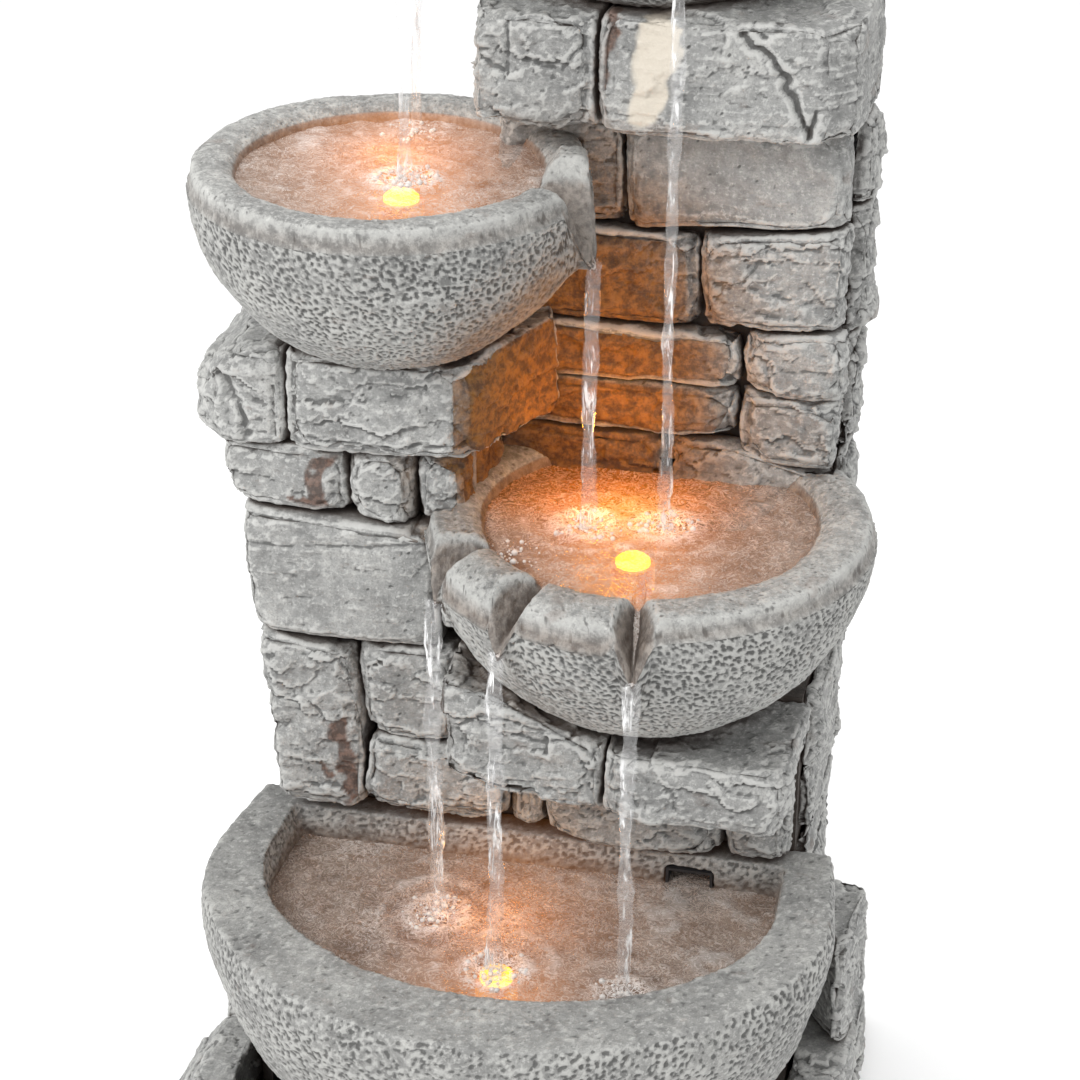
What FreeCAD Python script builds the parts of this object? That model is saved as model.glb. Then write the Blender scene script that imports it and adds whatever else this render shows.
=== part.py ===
import FreeCAD, Part
import math
import os
import random

os.makedirs("parts", exist_ok=True)

# Tiered water fountain, millimetres. +X right, +Y to the back, +Z up.
# The origin is on the ground, on the middle line of the basin, where the feet stand.
V = FreeCAD.Vector
UP = V(0, 0, 1)
BIG = 900.0

# --- driving dimensions ---------------------------------------------------------------
FOOT_H = 4.0             # rubber feet under the base plate
PLATE_TOP = 9.0          # top of the base plate
PLINTH_TOP = 96.0        # the basin stands on the plinth
BACK_Y = 186.0           # rear face of the tower
WALL = 6.0               # cast wall of the tower core
GAP = 0.5                # open joint left between a stone and the core it is set on
HOLLOW = 0.8             # size of a cast stone's hollow as a share of the stone

BASIN_RIM_Z = 250.0
BASIN_Y = -46.0          # centre of the rounded front of the basin
BASIN_BACK_Y = 33.5      # rear face of the basin casting
BASIN_POND_Y = 10.0      # rear wall of the pond
BASIN_FLOOR_Z = 146.0
DRAIN = (-95.0, -70.0)   # x, y of the drain hole

# sections of the basin from the bottom up: z, half width, depth of the rounded front
BASIN_OUTSIDE = [
    (PLINTH_TOP, 158, 122), (112, 174, 138), (150, 198, 164),
    (200, 214, 181), (BASIN_RIM_Z - 12, 219, 186), (BASIN_RIM_Z, 216, 183)]
BASIN_POND = [
    (BASIN_FLOOR_Z, 118, 78), (156, 134, 94), (185, 158, 118),
    (220, 173, 130), (BASIN_RIM_Z + 2, 179, 135)]
BASIN_UNDERSIDE = [
    (PLINTH_TOP - 6, 146, 110), (112, 162, 126), (150, 186, 152),
    (200, 202, 169), (BASIN_RIM_Z - 20, 205, 172)]
BASIN_POND_SKIN = [
    (BASIN_FLOOR_Z - 12, 130, 90), (156, 148, 108), (185, 172, 132),
    (220, 187, 144), (BASIN_RIM_Z + 6, 193, 149)]

SHELF_Z = 374.0          # top of the lower core, the shelf of the right bowl
PIER_TOP = 540.0         # top of the left pier, under the left ledge
COLUMN_TOP = 752.0       # top of the upper column, under the top slab
SLAB_TOP = 832.0         # the top bowl stands here
CORE_FRONT_Y = 34.0
COLUMN_FRONT_Y = 128.0   # core face behind the upper stones
STONE_FACE_Y = 101.0     # face of the upper stones

CORE_LEFT = -180.0
CORE_RIGHT = 180.0
PIER_RIGHT = -60.0
COLUMN_LEFT = -30.0

# bowls: centre x, centre y, rim z, outer radius, inner radius, foot radius, foot z, pond floor z
LEFT_BOWL = dict(x=-103, y=43, rim=735, r=130, ri=101, foot=62, base=613, floor=648)
RIGHT_BOWL = dict(x=73, y=33, rim=507, r=150, ri=115, foot=74, base=375, floor=424)
TOP_BOWL = dict(x=48, y=158, rim=943, r=134, ri=105, foot=78, base=SLAB_TOP, floor=860)

# pouring lips: direction in degrees from +X, reach beyond the rim, fall of the groove, width
LEFT_SPOUTS = [(-8, 6, 56, 36)]
RIGHT_SPOUTS = [(-145, -2, 38, 32), (-117, 2, 42, 34), (-84, 2, 44, 34)]
TOP_SPOUTS = [(-146, 40, 46, 30), (-169, 17, 44, 30), (-74, -5, 46, 34)]

# sump and pump
SUMP = (-50.0, 160.0, 44.0, 178.0, 104.0, 246.0)      # x, x, y, y, z, z outside
SUMP_WALL = 4.0
PORT = (93.0, 127.0, 203.0, 238.0)                    # x, x, z, z of the port in the basin wall
PUMP = (-12.0, 52.0, 100.0, 144.0, 120.0, 170.0)      # x, x, y, y, z, z outside
IMPELLER_X = 20.0
IMPELLER_Z = 145.0
SHAFT_R = 1.5
ROTOR_CLEAR = 0.05
HOSE_R = 9.0
HOSE_BORE = 7.0
HOSE_X = 40.0
HOSE_Y = 150.0
OUTLET_X = 32.0
OUTLET_Y = 108.0

# rear door
DOOR = (-60.0, 110.0, 262.0, 420.0)                   # x, x, z, z of the opening
LIP = 10.0

# lights: x, y, z of the underside
LIGHTS = dict(left=(-111, 96, 664), right=(57, 58, 430), basin=(-15, -47, BASIN_FLOOR_Z))
LIGHT_R = 15.0
LIGHT_H = 20.0
LEAD_R = 2.0
LEAD_HOLE_R = 5.0

JUNCTION = (-166.0, -126.0, 120.0, 160.0, 196.0, 246.0)
GLAND = (-100.0, 60.0)                                # x, z on the rear wall


def save(shape, node):
    shape.exportStep("parts/" + node + ".step")
    print(node, "solids", len(shape.Solids), "valid", shape.isValid(), round(shape.Volume / 1000, 1), "cm3")


def block(x0, x1, y0, y1, z0, z1):
    return Part.makeBox(x1 - x0, y1 - y0, z1 - z0, V(x0, y0, z0))


def cylinder(x, y, z, r, h, axis=UP):
    return Part.makeCylinder(r, h, V(x, y, z), axis)


def ring(x, y, z, r_out, r_in, h, axis=UP):
    return cylinder(x, y, z, r_out, h, axis).cut(cylinder(x, y, z, r_in, h, axis))


def polygon(points):
    return Part.Face(Part.makePolygon(points + [points[0]]))


def group(shapes):
    return Part.makeCompound(shapes)


# --- stones -----------------------------------------------------------------------------
FRONT = (V(0, -1, 0), V(1, 0, 0), UP)
RIGHT = (V(1, 0, 0), V(0, 1, 0), UP)
LEFT = (V(-1, 0, 0), V(0, 1, 0), UP)


def chip(shape, normal, depth):
    """Breaks a flat off the shape: the plane faces along normal, depth below the highest point."""
    n = V(normal).normalize()
    reach = max(v.Point.dot(n) for v in shape.Vertexes)
    middle = shape.BoundBox.Center
    cutter = block(-BIG / 2, BIG / 2, -BIG / 2, BIG / 2, 0, BIG)
    cutter.Placement = FreeCAD.Placement(
        middle + n * (reach - depth - middle.dot(n)), FreeCAD.Rotation(UP, n))
    return shape.cut(cutter)


def split_faces(shape, name, facing, rough=1.0):
    """Gives a block the split faces and chipped arrises of a rough stone, the same each time."""
    out, side, up = facing
    rng = random.Random(name)
    for s in (-1, 1):
        shape = chip(shape, out + side * s * rng.uniform(0.05, 0.14), rng.uniform(1.0, 2.5) * rough)
        shape = chip(shape, out + side * s * rng.uniform(0.7, 1.6), rng.uniform(2.0, 5.0) * rough)
        shape = chip(shape, out + up * s * rng.uniform(0.7, 1.6), rng.uniform(1.5, 4.0) * rough)
        for t in (-1, 1):
            corner = out + side * s * rng.uniform(0.6, 1.2) + up * t * rng.uniform(0.6, 1.2)
            shape = chip(shape, corner, rng.uniform(3.0, 7.0) * rough)
    return shape


def hollow_cast(stone, hidden):
    """Hollows a cast stone from its hidden side, which faces along hidden."""
    box = stone.BoundBox
    half = V(box.XLength * abs(hidden.x), box.YLength * abs(hidden.y), box.ZLength * abs(hidden.z)).Length / 2
    inner = stone.copy()
    inner.scale(HOLLOW, box.Center + hidden * (half + 3))
    return stone.cut(inner)


def wall_stone(name, outline, y0, y1, rough=1.0):
    """A stone drawn by its outline in the front view, as (x, z) corners."""
    body = polygon([V(x, y0, z) for x, z in outline]).extrude(V(0, y1 - y0, 0))
    return hollow_cast(split_faces(body, name, FRONT, rough), V(0, 1, 0))


def slab_stone(name, plan, z0, z1, rough=1.0):
    """A stone drawn by its outline in the plan view, as (x, y) corners."""
    body = polygon([V(x, y, z0) for x, y in plan]).extrude(V(0, 0, z1 - z0))
    return hollow_cast(split_faces(body, name, FRONT, rough), V(0, 0, -1))


def side_course(name, facing, core_x, y0, y1, courses, gap=2.0):
    """Stones one above the other on a side of the tower; courses are (outer x, low z, high z)."""
    stones = []
    for i, (outer_x, low, high) in enumerate(courses):
        rng = random.Random(name + str(i))
        x0, x1 = sorted((core_x, outer_x))
        body = block(x0, x1, y0 + rng.uniform(0, 6), y1, low, high - gap)
        stones.append(hollow_cast(split_faces(body, name + str(i), facing), facing[0] * -1))
    return stones


# --- bowls ------------------------------------------------------------------------------
def bowl_outside(b):
    """Solid of revolution: flat foot, part of a ball, a short upright band under the rim."""
    r, foot, base = b["r"], b["foot"], b["base"]
    band = b["rim"] - 16
    height = (r * r - foot * foot + band * band - base * base) / (2 * (band - base))
    radius = math.hypot(r, band - height)
    start = math.atan2(foot, height - base)
    end = math.atan2(r, height - band)
    lean = (start + end) / 2
    bulge = V(radius * math.sin(lean), 0, height - radius * math.cos(lean))
    edges = [
        Part.LineSegment(V(0, 0, base), V(foot, 0, base)).toShape(),
        Part.Arc(V(foot, 0, base), bulge, V(r, 0, band)).toShape(),
        Part.LineSegment(V(r, 0, band), V(r - 4, 0, b["rim"])).toShape(),
        Part.LineSegment(V(r - 4, 0, b["rim"]), V(0, 0, b["rim"])).toShape(),
        Part.LineSegment(V(0, 0, b["rim"]), V(0, 0, base)).toShape(),
    ]
    return turned(edges, b)


def bowl_inside(b):
    """The hollow: part of a ball from the floor up to the rim."""
    top = b["rim"] + 2
    drop = top - b["floor"]
    radius = (b["ri"] ** 2 + drop ** 2) / (2 * drop)
    lean = math.atan2(b["ri"], radius - drop) / 2
    middle = V(radius * math.sin(lean), 0, b["floor"] + radius * (1 - math.cos(lean)))
    edges = [
        Part.LineSegment(V(0, 0, b["floor"]), V(0, 0, top)).toShape(),
        Part.LineSegment(V(0, 0, top), V(b["ri"], 0, top)).toShape(),
        Part.Arc(V(b["ri"], 0, top), middle, V(0, 0, b["floor"])).toShape(),
    ]
    return turned(edges, b)


def turned(edges, b):
    solid = Part.Face(Part.Wire(edges)).revolve(V(0, 0, 0), UP, 360)
    solid = Part.makeSolid(solid) if solid.ShapeType == "Shell" else solid
    solid.translate(V(b["x"], b["y"], 0))
    return solid


def spout_parts(b, angle, reach, drop, width):
    """(nose, groove) of a pouring lip that points outwards at angle, from the bowl's centre."""
    def prism(x, corners, along):
        return polygon([V(x, y, z) for y, z in corners]).extrude(along)
    rim = b["rim"]
    tip = b["r"] + reach
    start = b["ri"] + 6
    half = width / 2
    nose = prism(start, [
        (-half * 0.5, rim - drop * 0.5 - 24), (half * 0.5, rim - drop * 0.5 - 24), (half * 1.25, rim - 20),
        (half * 1.1, rim - 1.5), (-half * 1.1, rim - 1.5), (-half * 1.25, rim - 20)],
        V(tip - start, 0, -drop * 0.45))
    inlet = b["ri"] - 14
    groove = prism(inlet, [(0, rim - 15), (half * 0.8, rim + 40), (-half * 0.8, rim + 40)],
                   V(tip + 4 - inlet, 0, 15 - drop))
    for part in (nose, groove):
        part.rotate(V(0, 0, 0), UP, angle)
        part.translate(V(b["x"], b["y"], 0))
    return nose, groove


def light_pocket(key):
    """The room a light and its lead take out of the casting under it."""
    x, y, z = LIGHTS[key]
    pocket = cylinder(x, y, z, LIGHT_R, LIGHT_H)
    return pocket.fuse(cylinder(x, y, z - 150, LEAD_HOLE_R, 151))


def bowl(b, spouts, trims, key=None):
    """A cast bowl with its pouring lips; trims are the solids of the tower that it is cut to fit."""
    body = bowl_outside(b)
    grooves = []
    for spout in spouts:
        nose, groove = spout_parts(b, *spout)
        body = body.fuse(nose)
        grooves.append(groove)
    hollow = bowl_inside(b)
    if b is TOP_BOWL:
        hollow = hollow.common(block(-BIG, BIG, -BIG, BACK_Y - 24, 0, 2000))
    body = body.cut(hollow)
    for tool in grooves + trims:
        body = body.cut(tool)
    if key:
        body = body.cut(light_pocket(key))
    return body.removeSplitter()


# --- basin ------------------------------------------------------------------------------
def half_round(z, a, b, centre_y, back_x, back_y):
    """D-shaped wire: a half ellipse in front, straight sides, a straight back."""
    ellipse = Part.Ellipse(V(0, centre_y, z), max(a, b), min(a, b))
    arc = Part.ArcOfEllipse(ellipse, math.pi, 2 * math.pi)
    corners = [V(a, centre_y, z), V(back_x, back_y, z), V(-back_x, back_y, z), V(-a, centre_y, z)]
    lines = [Part.LineSegment(p, q).toShape() for p, q in zip(corners, corners[1:])]
    return Part.Wire([arc.toShape()] + lines)


def basin_loft(sections, centre_y, taper, back_y):
    wires = [half_round(z, a, b, centre_y, a - taper, back_y) for z, a, b in sections]
    return Part.makeLoft(wires, True, False)


def lower_basin():
    """The casting is hollow underneath: its wall and the skin of its pond are 12 to 14 mm thick."""
    body = basin_loft(BASIN_OUTSIDE, BASIN_Y, 11, BASIN_BACK_Y)
    body = body.cut(basin_loft(BASIN_POND, BASIN_Y + 6, 2, BASIN_POND_Y))
    under_room = basin_loft(BASIN_UNDERSIDE, BASIN_Y, 11, BASIN_POND_Y - 12)
    pond_skin = basin_loft(BASIN_POND_SKIN, BASIN_Y + 6, 2, BASIN_BACK_Y)
    body = body.cut(under_room.cut(pond_skin))
    body = body.cut(block(PORT[0], PORT[1], 0, 60, PORT[2], PORT[3]))
    body = body.cut(light_pocket("basin"))
    return body.cut(cylinder(DRAIN[0], DRAIN[1], 60, 8.0, 140))


def drain_plug():
    x, y = DRAIN
    top = BASIN_FLOOR_Z
    body = Part.makeCone(7.0, 7.9, 24, V(x, y, top - 24), UP)
    body = body.fuse(cylinder(x, y, top + 0.3, 12, 3))
    body = body.fuse(cylinder(x, y, top - 1, 7.0, 2))
    return body.fuse(ring(x, y, top + 3.3, 4.5, 2.5, 6))


# --- tower ------------------------------------------------------------------------------
def tower_core():
    """A hollow box in steps, open underneath: low front, left pier, tall column, a web between them."""
    def steps(inset):
        def step(left, right, front, bottom, top):
            return block(left + inset, right - inset, front + inset, BACK_Y - inset, bottom, top - inset)
        low = step(CORE_LEFT, CORE_RIGHT, CORE_FRONT_Y, PLATE_TOP - inset * 2, SHELF_Z)
        pier = step(CORE_LEFT, PIER_RIGHT, CORE_FRONT_Y, PLATE_TOP + 200, PIER_TOP)
        column = step(COLUMN_LEFT, CORE_RIGHT, COLUMN_FRONT_Y, PLATE_TOP + 200, COLUMN_TOP)
        web = block(PIER_RIGHT - 20, COLUMN_LEFT + 20, COLUMN_FRONT_Y + inset, BACK_Y - inset,
                    PLATE_TOP + 200, PIER_TOP - inset)
        return low.fuse(pier).fuse(column).fuse(web)
    core = steps(0).cut(steps(WALL))
    core = core.cut(block(DOOR[0], DOOR[1], BACK_Y - 20, BACK_Y + 20, DOOR[2], DOOR[3]))
    core = core.cut(block(PORT[0], PORT[1], 20, 60, PORT[2], PORT[3]))
    core = core.cut(cylinder(HOSE_X, HOSE_Y, COLUMN_TOP - 20, 14, 40))
    for key in ("left", "right"):
        core = core.cut(light_pocket(key))
    core = core.cut(cylinder(LIGHTS["basin"][0], 20, 62, LEAD_HOLE_R, 40, V(0, 1, 0)))
    core = core.cut(cylinder(GLAND[0], BACK_Y - 20, GLAND[1], 8.0, 40, V(0, 1, 0)))
    return core.removeSplitter()


def base_plinth():
    body = block(-188, 188, -186, CORE_FRONT_Y - 0.5, PLATE_TOP, PLINTH_TOP)
    body = body.cut(block(-176, 176, -174, CORE_FRONT_Y - 12, PLATE_TOP, PLINTH_TOP - 12))
    body = chip(chip(body, V(1, -1, 0), 90), V(-1, -1, 0), 90)
    body = body.cut(light_pocket("basin"))
    body = body.cut(cylinder(LIGHTS["basin"][0], 0, 62, LEAD_HOLE_R, 60, V(0, 1, 0)))
    return body.cut(cylinder(DRAIN[0], DRAIN[1], 60, 12.0, 60))


def base_plate():
    plan = [(-150, -178), (150, -178), (178, -150), (178, 184), (-178, 184), (-178, -150)]
    return polygon([V(x, y, FOOT_H) for x, y in plan]).extrude(V(0, 0, PLATE_TOP - FOOT_H))


def rubber_feet():
    places = [(-150, -140), (150, -140), (-155, 160), (155, 160), (0, 0)]
    return group([cylinder(x, y, 0, 17, FOOT_H) for x, y in places])


def rear_door():
    x0, x1, z0, z1 = DOOR
    plate = block(x0 - LIP, x1 + LIP, BACK_Y + 2, BACK_Y + 7, z0 - LIP, z1 + LIP)
    plug = block(x0 + 1, x1 - 1, BACK_Y - 10, BACK_Y + 2, z0 + 1, z1 - 1)
    plug = plug.cut(block(x0 + 5, x1 - 5, BACK_Y - 11, BACK_Y + 2, z0 + 5, z1 - 5))
    grip = cylinder((x0 + x1) / 2, BACK_Y + 12, z1 + LIP + 4, 16, 40, V(0, -1, 0))
    return plate.fuse(plug).cut(grip)


def door_seal():
    x0, x1, z0, z1 = DOOR
    seal = block(x0 - LIP + 1, x1 + LIP - 1, BACK_Y + 0.3, BACK_Y + 2, z0 - LIP + 1, z1 + LIP - 16)
    return seal.cut(block(x0 + 1, x1 - 1, BACK_Y, BACK_Y + 3, z0 + 1, z1 - 1)).cut(
        block(x0 - 20, x1 + 20, BACK_Y, BACK_Y + 3, z1 - 1, z1 + 40))


# --- stones of the tower, in courses from the ground up ---------------------------------
HOSE_WAY = cylinder(HOSE_X, HOSE_Y, COLUMN_TOP - 10, 14, 120)


def lay_stones():
    front = -4.0
    core = CORE_FRONT_Y - GAP
    stones = {
        "tall_corner_stone": (
            [(-182, 259), (-124, 262), (-119, 330), (-128, 390), (-195, 398)], front - 2, core),
        "pier_block_middle": ([(-116, 326), (-59, 320), (-55, 396), (-125, 393)], front + 4, core),
        "pier_block_low": (
            [(-121, 272), (-20, 268), (-16, 318), (-56, 318), (-113, 323)], front - 4, core),
        "pier_block_big": ([(-197, 401), (-66, 398), (-62, 486), (-203, 492)], front, core),
        "pier_block_small": ([(-63, 413), (-43, 412), (-42, 446), (-61, 448)], front - 4, core),
        "pier_course_left": ([(-209, 496), (-128, 494), (-129, 540), (-216, 541)], front + 2, core),
        "pier_course_middle": ([(-125, 490), (-85, 489), (-83, 539), (-126, 539)], front + 4, core),
        "pier_course_right": ([(-81, 491), (-46, 490), (-46, 538), (-80, 539)], front + 12, core),
    }
    for name, (outline, y0, y1) in stones.items():
        save(wall_stone(name, outline, y0, y1), name)
    pond_wall = [
        wall_stone("pond_wall_left", [(-122, 256), (-21, 256), (-21, 266), (-122, 270)], 4, core),
        wall_stone("pond_wall_small", [(-18, 258), (5, 258), (6, 297), (-17, 300)], 6, core),
        wall_stone("pond_wall_long", [(8, 256), (132, 255), (133, 312), (9, 314)], -2, core),
        wall_stone("pond_wall_right", [(135, 255), (178, 256), (179, 312), (136, 310)], 2, core),
    ]
    save(group(pond_wall), "pond_wall_stones")
    column = COLUMN_FRONT_Y - GAP
    upper = {
        "column_stone_b_left": ([(-50, 674), (38, 672), (34, 748), (-50, 748)], STONE_FACE_Y + 9, column),
        "column_stone_b_right": ([(41, 673), (186, 686), (184, 750), (37, 748)], STONE_FACE_Y, column),
        "column_stone_c_left": ([(-50, 606), (88, 604), (87, 669), (-50, 671)], STONE_FACE_Y + 6, column),
        "column_stone_c_right": ([(91, 608), (186, 614), (187, 683), (90, 671)], STONE_FACE_Y - 2, column),
        "column_stone_d_left": ([(-50, 563), (118, 564), (117, 601), (-50, 603)], STONE_FACE_Y + 2, column),
        "column_stone_d_right": ([(121, 565), (190, 562), (189, 611), (120, 605)], STONE_FACE_Y - 1, column),
        "column_stone_e_left": ([(-50, 524), (116, 527), (117, 561), (-50, 560)], STONE_FACE_Y + 3, column),
        "column_stone_e_right": ([(119, 512), (184, 508), (189, 560), (119, 562)], STONE_FACE_Y, column),
    }
    for name, (outline, y0, y1) in upper.items():
        save(wall_stone(name, outline, y0, y1), name)
    behind = STONE_FACE_Y + 3
    bowl_back = [
        wall_stone("bowl_back_left", [(-50, 456), (66, 452), (66, 521), (-50, 522)], behind, column),
        wall_stone(
            "bowl_back_right", [(69, 454), (185, 452), (184, 505), (117, 509), (116, 521), (69, 521)],
            behind, column),
        wall_stone("bowl_back_low", [(-50, 376), (185, 376), (184, 449), (-50, 452)], behind + 3, column),
    ]
    save(group(bowl_back), "bowl_back_stones")


def lay_ledges():
    left_light = light_pocket("left")
    outer = slab_stone(
        "left_ledge_outer", [(-238, 20), (-224, 0), (-180, -8), (-168, -6), (-166, 184), (-226, 184)],
        542, 611)
    save(chip(outer, V(-1, -0.2, 1.1), 24), "left_ledge_outer")
    inner = slab_stone(
        "left_ledge_inner", [(-165, -8), (-44, -6), (-5, 96), (-54, 99), (-54, 184), (-164, 184)], 541, 612)
    save(inner.cut(left_light), "left_ledge_inner")
    # The right ledge falls to the right, so its two stones are drawn in the front view.
    seat = bowl_outside(RIGHT_BOWL)
    raised = wall_stone(
        "right_ledge_left", [(-52, 330), (58, 319), (60, 371), (-8, 372), (-14, 404), (-50, 410)],
        -58, CORE_FRONT_Y - GAP)
    save(raised.cut(seat), "right_ledge_left")
    falling = wall_stone(
        "right_ledge_right", [(62, 318), (178, 316), (186, 340), (184, 370), (63, 372)],
        -62, CORE_FRONT_Y - GAP)
    save(falling, "right_ledge_right")
    left = slab_stone("top_slab_left", [(-55, 60), (24, 58), (30, 120), (28, 184), (-54, 184)], 754, 828)
    save(left, "top_slab_left")
    right = slab_stone(
        "top_slab_right", [(28, 60), (60, 57), (178, 60), (192, 74), (194, 184), (31, 184), (33, 120)],
        754, SLAB_TOP)
    save(right.cut(HOSE_WAY), "top_slab_right")


def lay_sides():
    right_x = CORE_RIGHT + GAP
    right = side_course("right_upper", RIGHT, right_x, 132, BACK_Y, [
        (199, 376, 448), (193, 448, 512), (197, 512, 600), (200, 600, 690), (201, 690, 752)])
    right += side_course("right_lower", RIGHT, right_x, 36, BACK_Y, [
        (189, 110, 212), (190, 212, 256), (192, 256, 314), (194, 314, 374)])
    save(group(right), "right_side_stones")
    left = side_course("left_lower", LEFT, CORE_LEFT - GAP, 36, BACK_Y, [
        (-202, 114, 190), (-198, 190, 262), (-196, 262, 398), (-203, 398, 494), (-206, 494, PIER_TOP)])
    left += side_course("left_upper", LEFT, COLUMN_LEFT - GAP, 130, BACK_Y, [
        (-50, 614, 672), (-48, 672, 712), (-50, 712, COLUMN_TOP)])
    save(group(left), "left_side_stones")
    nook = [slab_stone("nook" + str(z0), [(-59, 36), (-43, 36), (-42, 97), (-59, 97)], z0, z1, 0.5)
            for z0, z1 in ((376, 456), (458, 538))]
    save(group(nook), "nook_side_stones")


def lay_base():
    left = [
        chip(slab_stone("base_l0", [(-250, -118), (-214, -150), (-190, -140), (-190, -40), (-246, -50)],
                        FOOT_H, 98), V(-1, 0, 0.8), 26),
        slab_stone("base_l1", [(-222, -46), (-190, -36), (-190, 70), (-220, 74)], FOOT_H, 108),
        slab_stone("base_l2", [(-218, 78), (-190, 74), (-190, 184), (-216, 184)], FOOT_H, 104),
    ]
    right = [
        slab_stone("base_r0", [(190, -140), (224, -112), (232, -30), (190, -36)], FOOT_H, 98),
        slab_stone("base_r1", [(190, -32), (232, -26), (234, 76), (190, 78)], FOOT_H, 108),
        slab_stone("base_r2", [(190, 82), (230, 80), (222, 184), (190, 184)], FOOT_H, 104),
        slab_stone(
            "base_r3", [(218, -14), (228, -6), (229, 70), (192, 78), (192, 39), (208, 37)], 110, 204),
    ]
    front = [
        slab_stone(
            "base_f0", [(-210, -152), (-150, -206), (-70, -226), (-66, -188), (-132, -188), (-188, -136)],
            FOOT_H, 92),
        slab_stone("base_f1", [(-66, -226), (62, -228), (60, -188), (-62, -188)], FOOT_H, 90),
        slab_stone(
            "base_f2", [(66, -228), (150, -206), (208, -152), (188, -136), (132, -188), (64, -188)],
            FOOT_H, 94),
    ]
    save(group(left), "base_stones_left")
    save(group(right), "base_stones_right")
    save(group(front), "base_stones_front")


# --- water works ------------------------------------------------------------------------
def pump_sump():
    x0, x1, y0, y1, z0, z1 = SUMP
    w = SUMP_WALL
    tub = block(*SUMP).cut(block(x0 + w, x1 - w, y0 + w, y1 - w, z0 + w, z1 + 1))
    rim = block(x0 - 4, x1 + 4, y0 - 3, y1 + 1.5, z1 - 4, z1)
    tub = tub.fuse(rim.cut(block(x0 + w, x1 - w, y0 + w, y1 - w, z1 - 5, z1 + 1)))
    tub = tub.cut(block(PORT[0], PORT[1], 30, 60, PORT[2], PORT[3]))
    legs = [block(x, x + 12, y, y + 12, PLATE_TOP, z0)
            for x in (x0, x1 - 12) for y in (y0, y1 - 12)]
    return tub.fuse(legs[0]).fuse(legs[1]).fuse(legs[2]).fuse(legs[3])


def inlet_screen():
    x0, x1, z0, z1 = PORT
    c = 0.4
    sleeve = block(x0 + c, x1 - c, BASIN_POND_Y, 47, z0 + c, z1 - c)
    sleeve = sleeve.cut(block(x0 + 2.4, x1 - 2.4, 0, 60, z0 + 2.4, z1 - 2.4))
    bars = [block(x0 + 2, x1 - 2, 30, 34, z, z + 2.2) for z in (208, 214, 220, 226, 231)]
    for bar in bars:
        sleeve = sleeve.fuse(bar)
    return sleeve


def pump_housing():
    x0, x1, y0, y1, z0, z1 = PUMP
    body = block(*PUMP)
    body = body.makeFillet(6, [e for e in body.Edges if abs(e.tangentAt(0).y) > 0.9])
    y_axis = V(0, 1, 0)
    body = body.cut(cylinder(IMPELLER_X, y0 - 1, IMPELLER_Z, 17, 13, y_axis))       # volute
    body = body.cut(cylinder(IMPELLER_X, y0 + 10, IMPELLER_Z, 8.5, 24, y_axis))     # rotor well
    body = body.cut(cylinder(IMPELLER_X, y0 + 30, IMPELLER_Z, SHAFT_R, 8, y_axis))  # shaft seat
    nozzle = cylinder(OUTLET_X, OUTLET_Y, z1 - 2, HOSE_BORE, 22)
    body = body.fuse(nozzle).cut(cylinder(OUTLET_X, OUTLET_Y, IMPELLER_Z + 6, 4.5, 60))
    spindle = cylinder(x1 - 9, y0 + 28, IMPELLER_Z, 3.0 + ROTOR_CLEAR, 12, V(1, 0, 0))
    return body.cut(spindle)


def pump_cover():
    x0, x1, y0, _, z0, z1 = PUMP
    y_axis = V(0, 1, 0)
    plate = block(x0 + 6, x1 - 6, y0 - 4, y0, z0 + 5, z1 - 5)
    plate = plate.cut(cylinder(IMPELLER_X, y0 - 5, IMPELLER_Z, 7, 6, y_axis))
    hub = cylinder(IMPELLER_X, y0 - 4, IMPELLER_Z, 3.2, 4, y_axis)
    spokes = block(IMPELLER_X - 8, IMPELLER_X + 8, y0 - 4, y0 - 1.5, IMPELLER_Z - 1, IMPELLER_Z + 1)
    plate = plate.fuse(hub).fuse(spokes)
    return plate.cut(cylinder(IMPELLER_X, y0 - 5, IMPELLER_Z, SHAFT_R, 6, y_axis))


def impeller_shaft():
    y0 = PUMP[2]
    return cylinder(IMPELLER_X, y0 - 3.5, IMPELLER_Z, SHAFT_R, 41, V(0, 1, 0))


def impeller():
    y0 = PUMP[2]
    y_axis = V(0, 1, 0)
    hub = cylinder(IMPELLER_X, y0 + 1, IMPELLER_Z, 5.0, 11, y_axis)
    hub = hub.fuse(cylinder(IMPELLER_X, y0 + 9, IMPELLER_Z, 14, 1.5, y_axis))
    hub = hub.fuse(cylinder(IMPELLER_X, y0 + 12, IMPELLER_Z, 7.5, 20, y_axis))
    for turn in range(6):
        blade = block(IMPELLER_X + 3, IMPELLER_X + 14, y0 + 1.5, y0 + 9.5, IMPELLER_Z - 0.8, IMPELLER_Z + 0.8)
        blade.rotate(V(IMPELLER_X, y0, IMPELLER_Z), y_axis, turn * 60)
        hub = hub.fuse(blade)
    bore = cylinder(IMPELLER_X, y0 - 2, IMPELLER_Z, SHAFT_R + ROTOR_CLEAR, 40, y_axis)
    return hub.cut(bore)


def pump_strainer():
    x0, x1, y0, _, z0, z1 = PUMP
    outer = block(x0, x1, y0 - 28, y0 - 0.4, z0, z1)
    outer = outer.makeFillet(5, [e for e in outer.Edges if abs(e.tangentAt(0).y) > 0.9])
    cap = outer.cut(block(x0 + 3, x1 - 3, y0 - 25, y0 + 1, z0 + 3, z1 - 3))
    for i in range(7):
        slot = block(x0 + 8 + i * 7.5, x0 + 11 + i * 7.5, y0 - 30, y0 - 20, z0 + 8, z1 - 8)
        cap = cap.cut(slot)
    return cap


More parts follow.
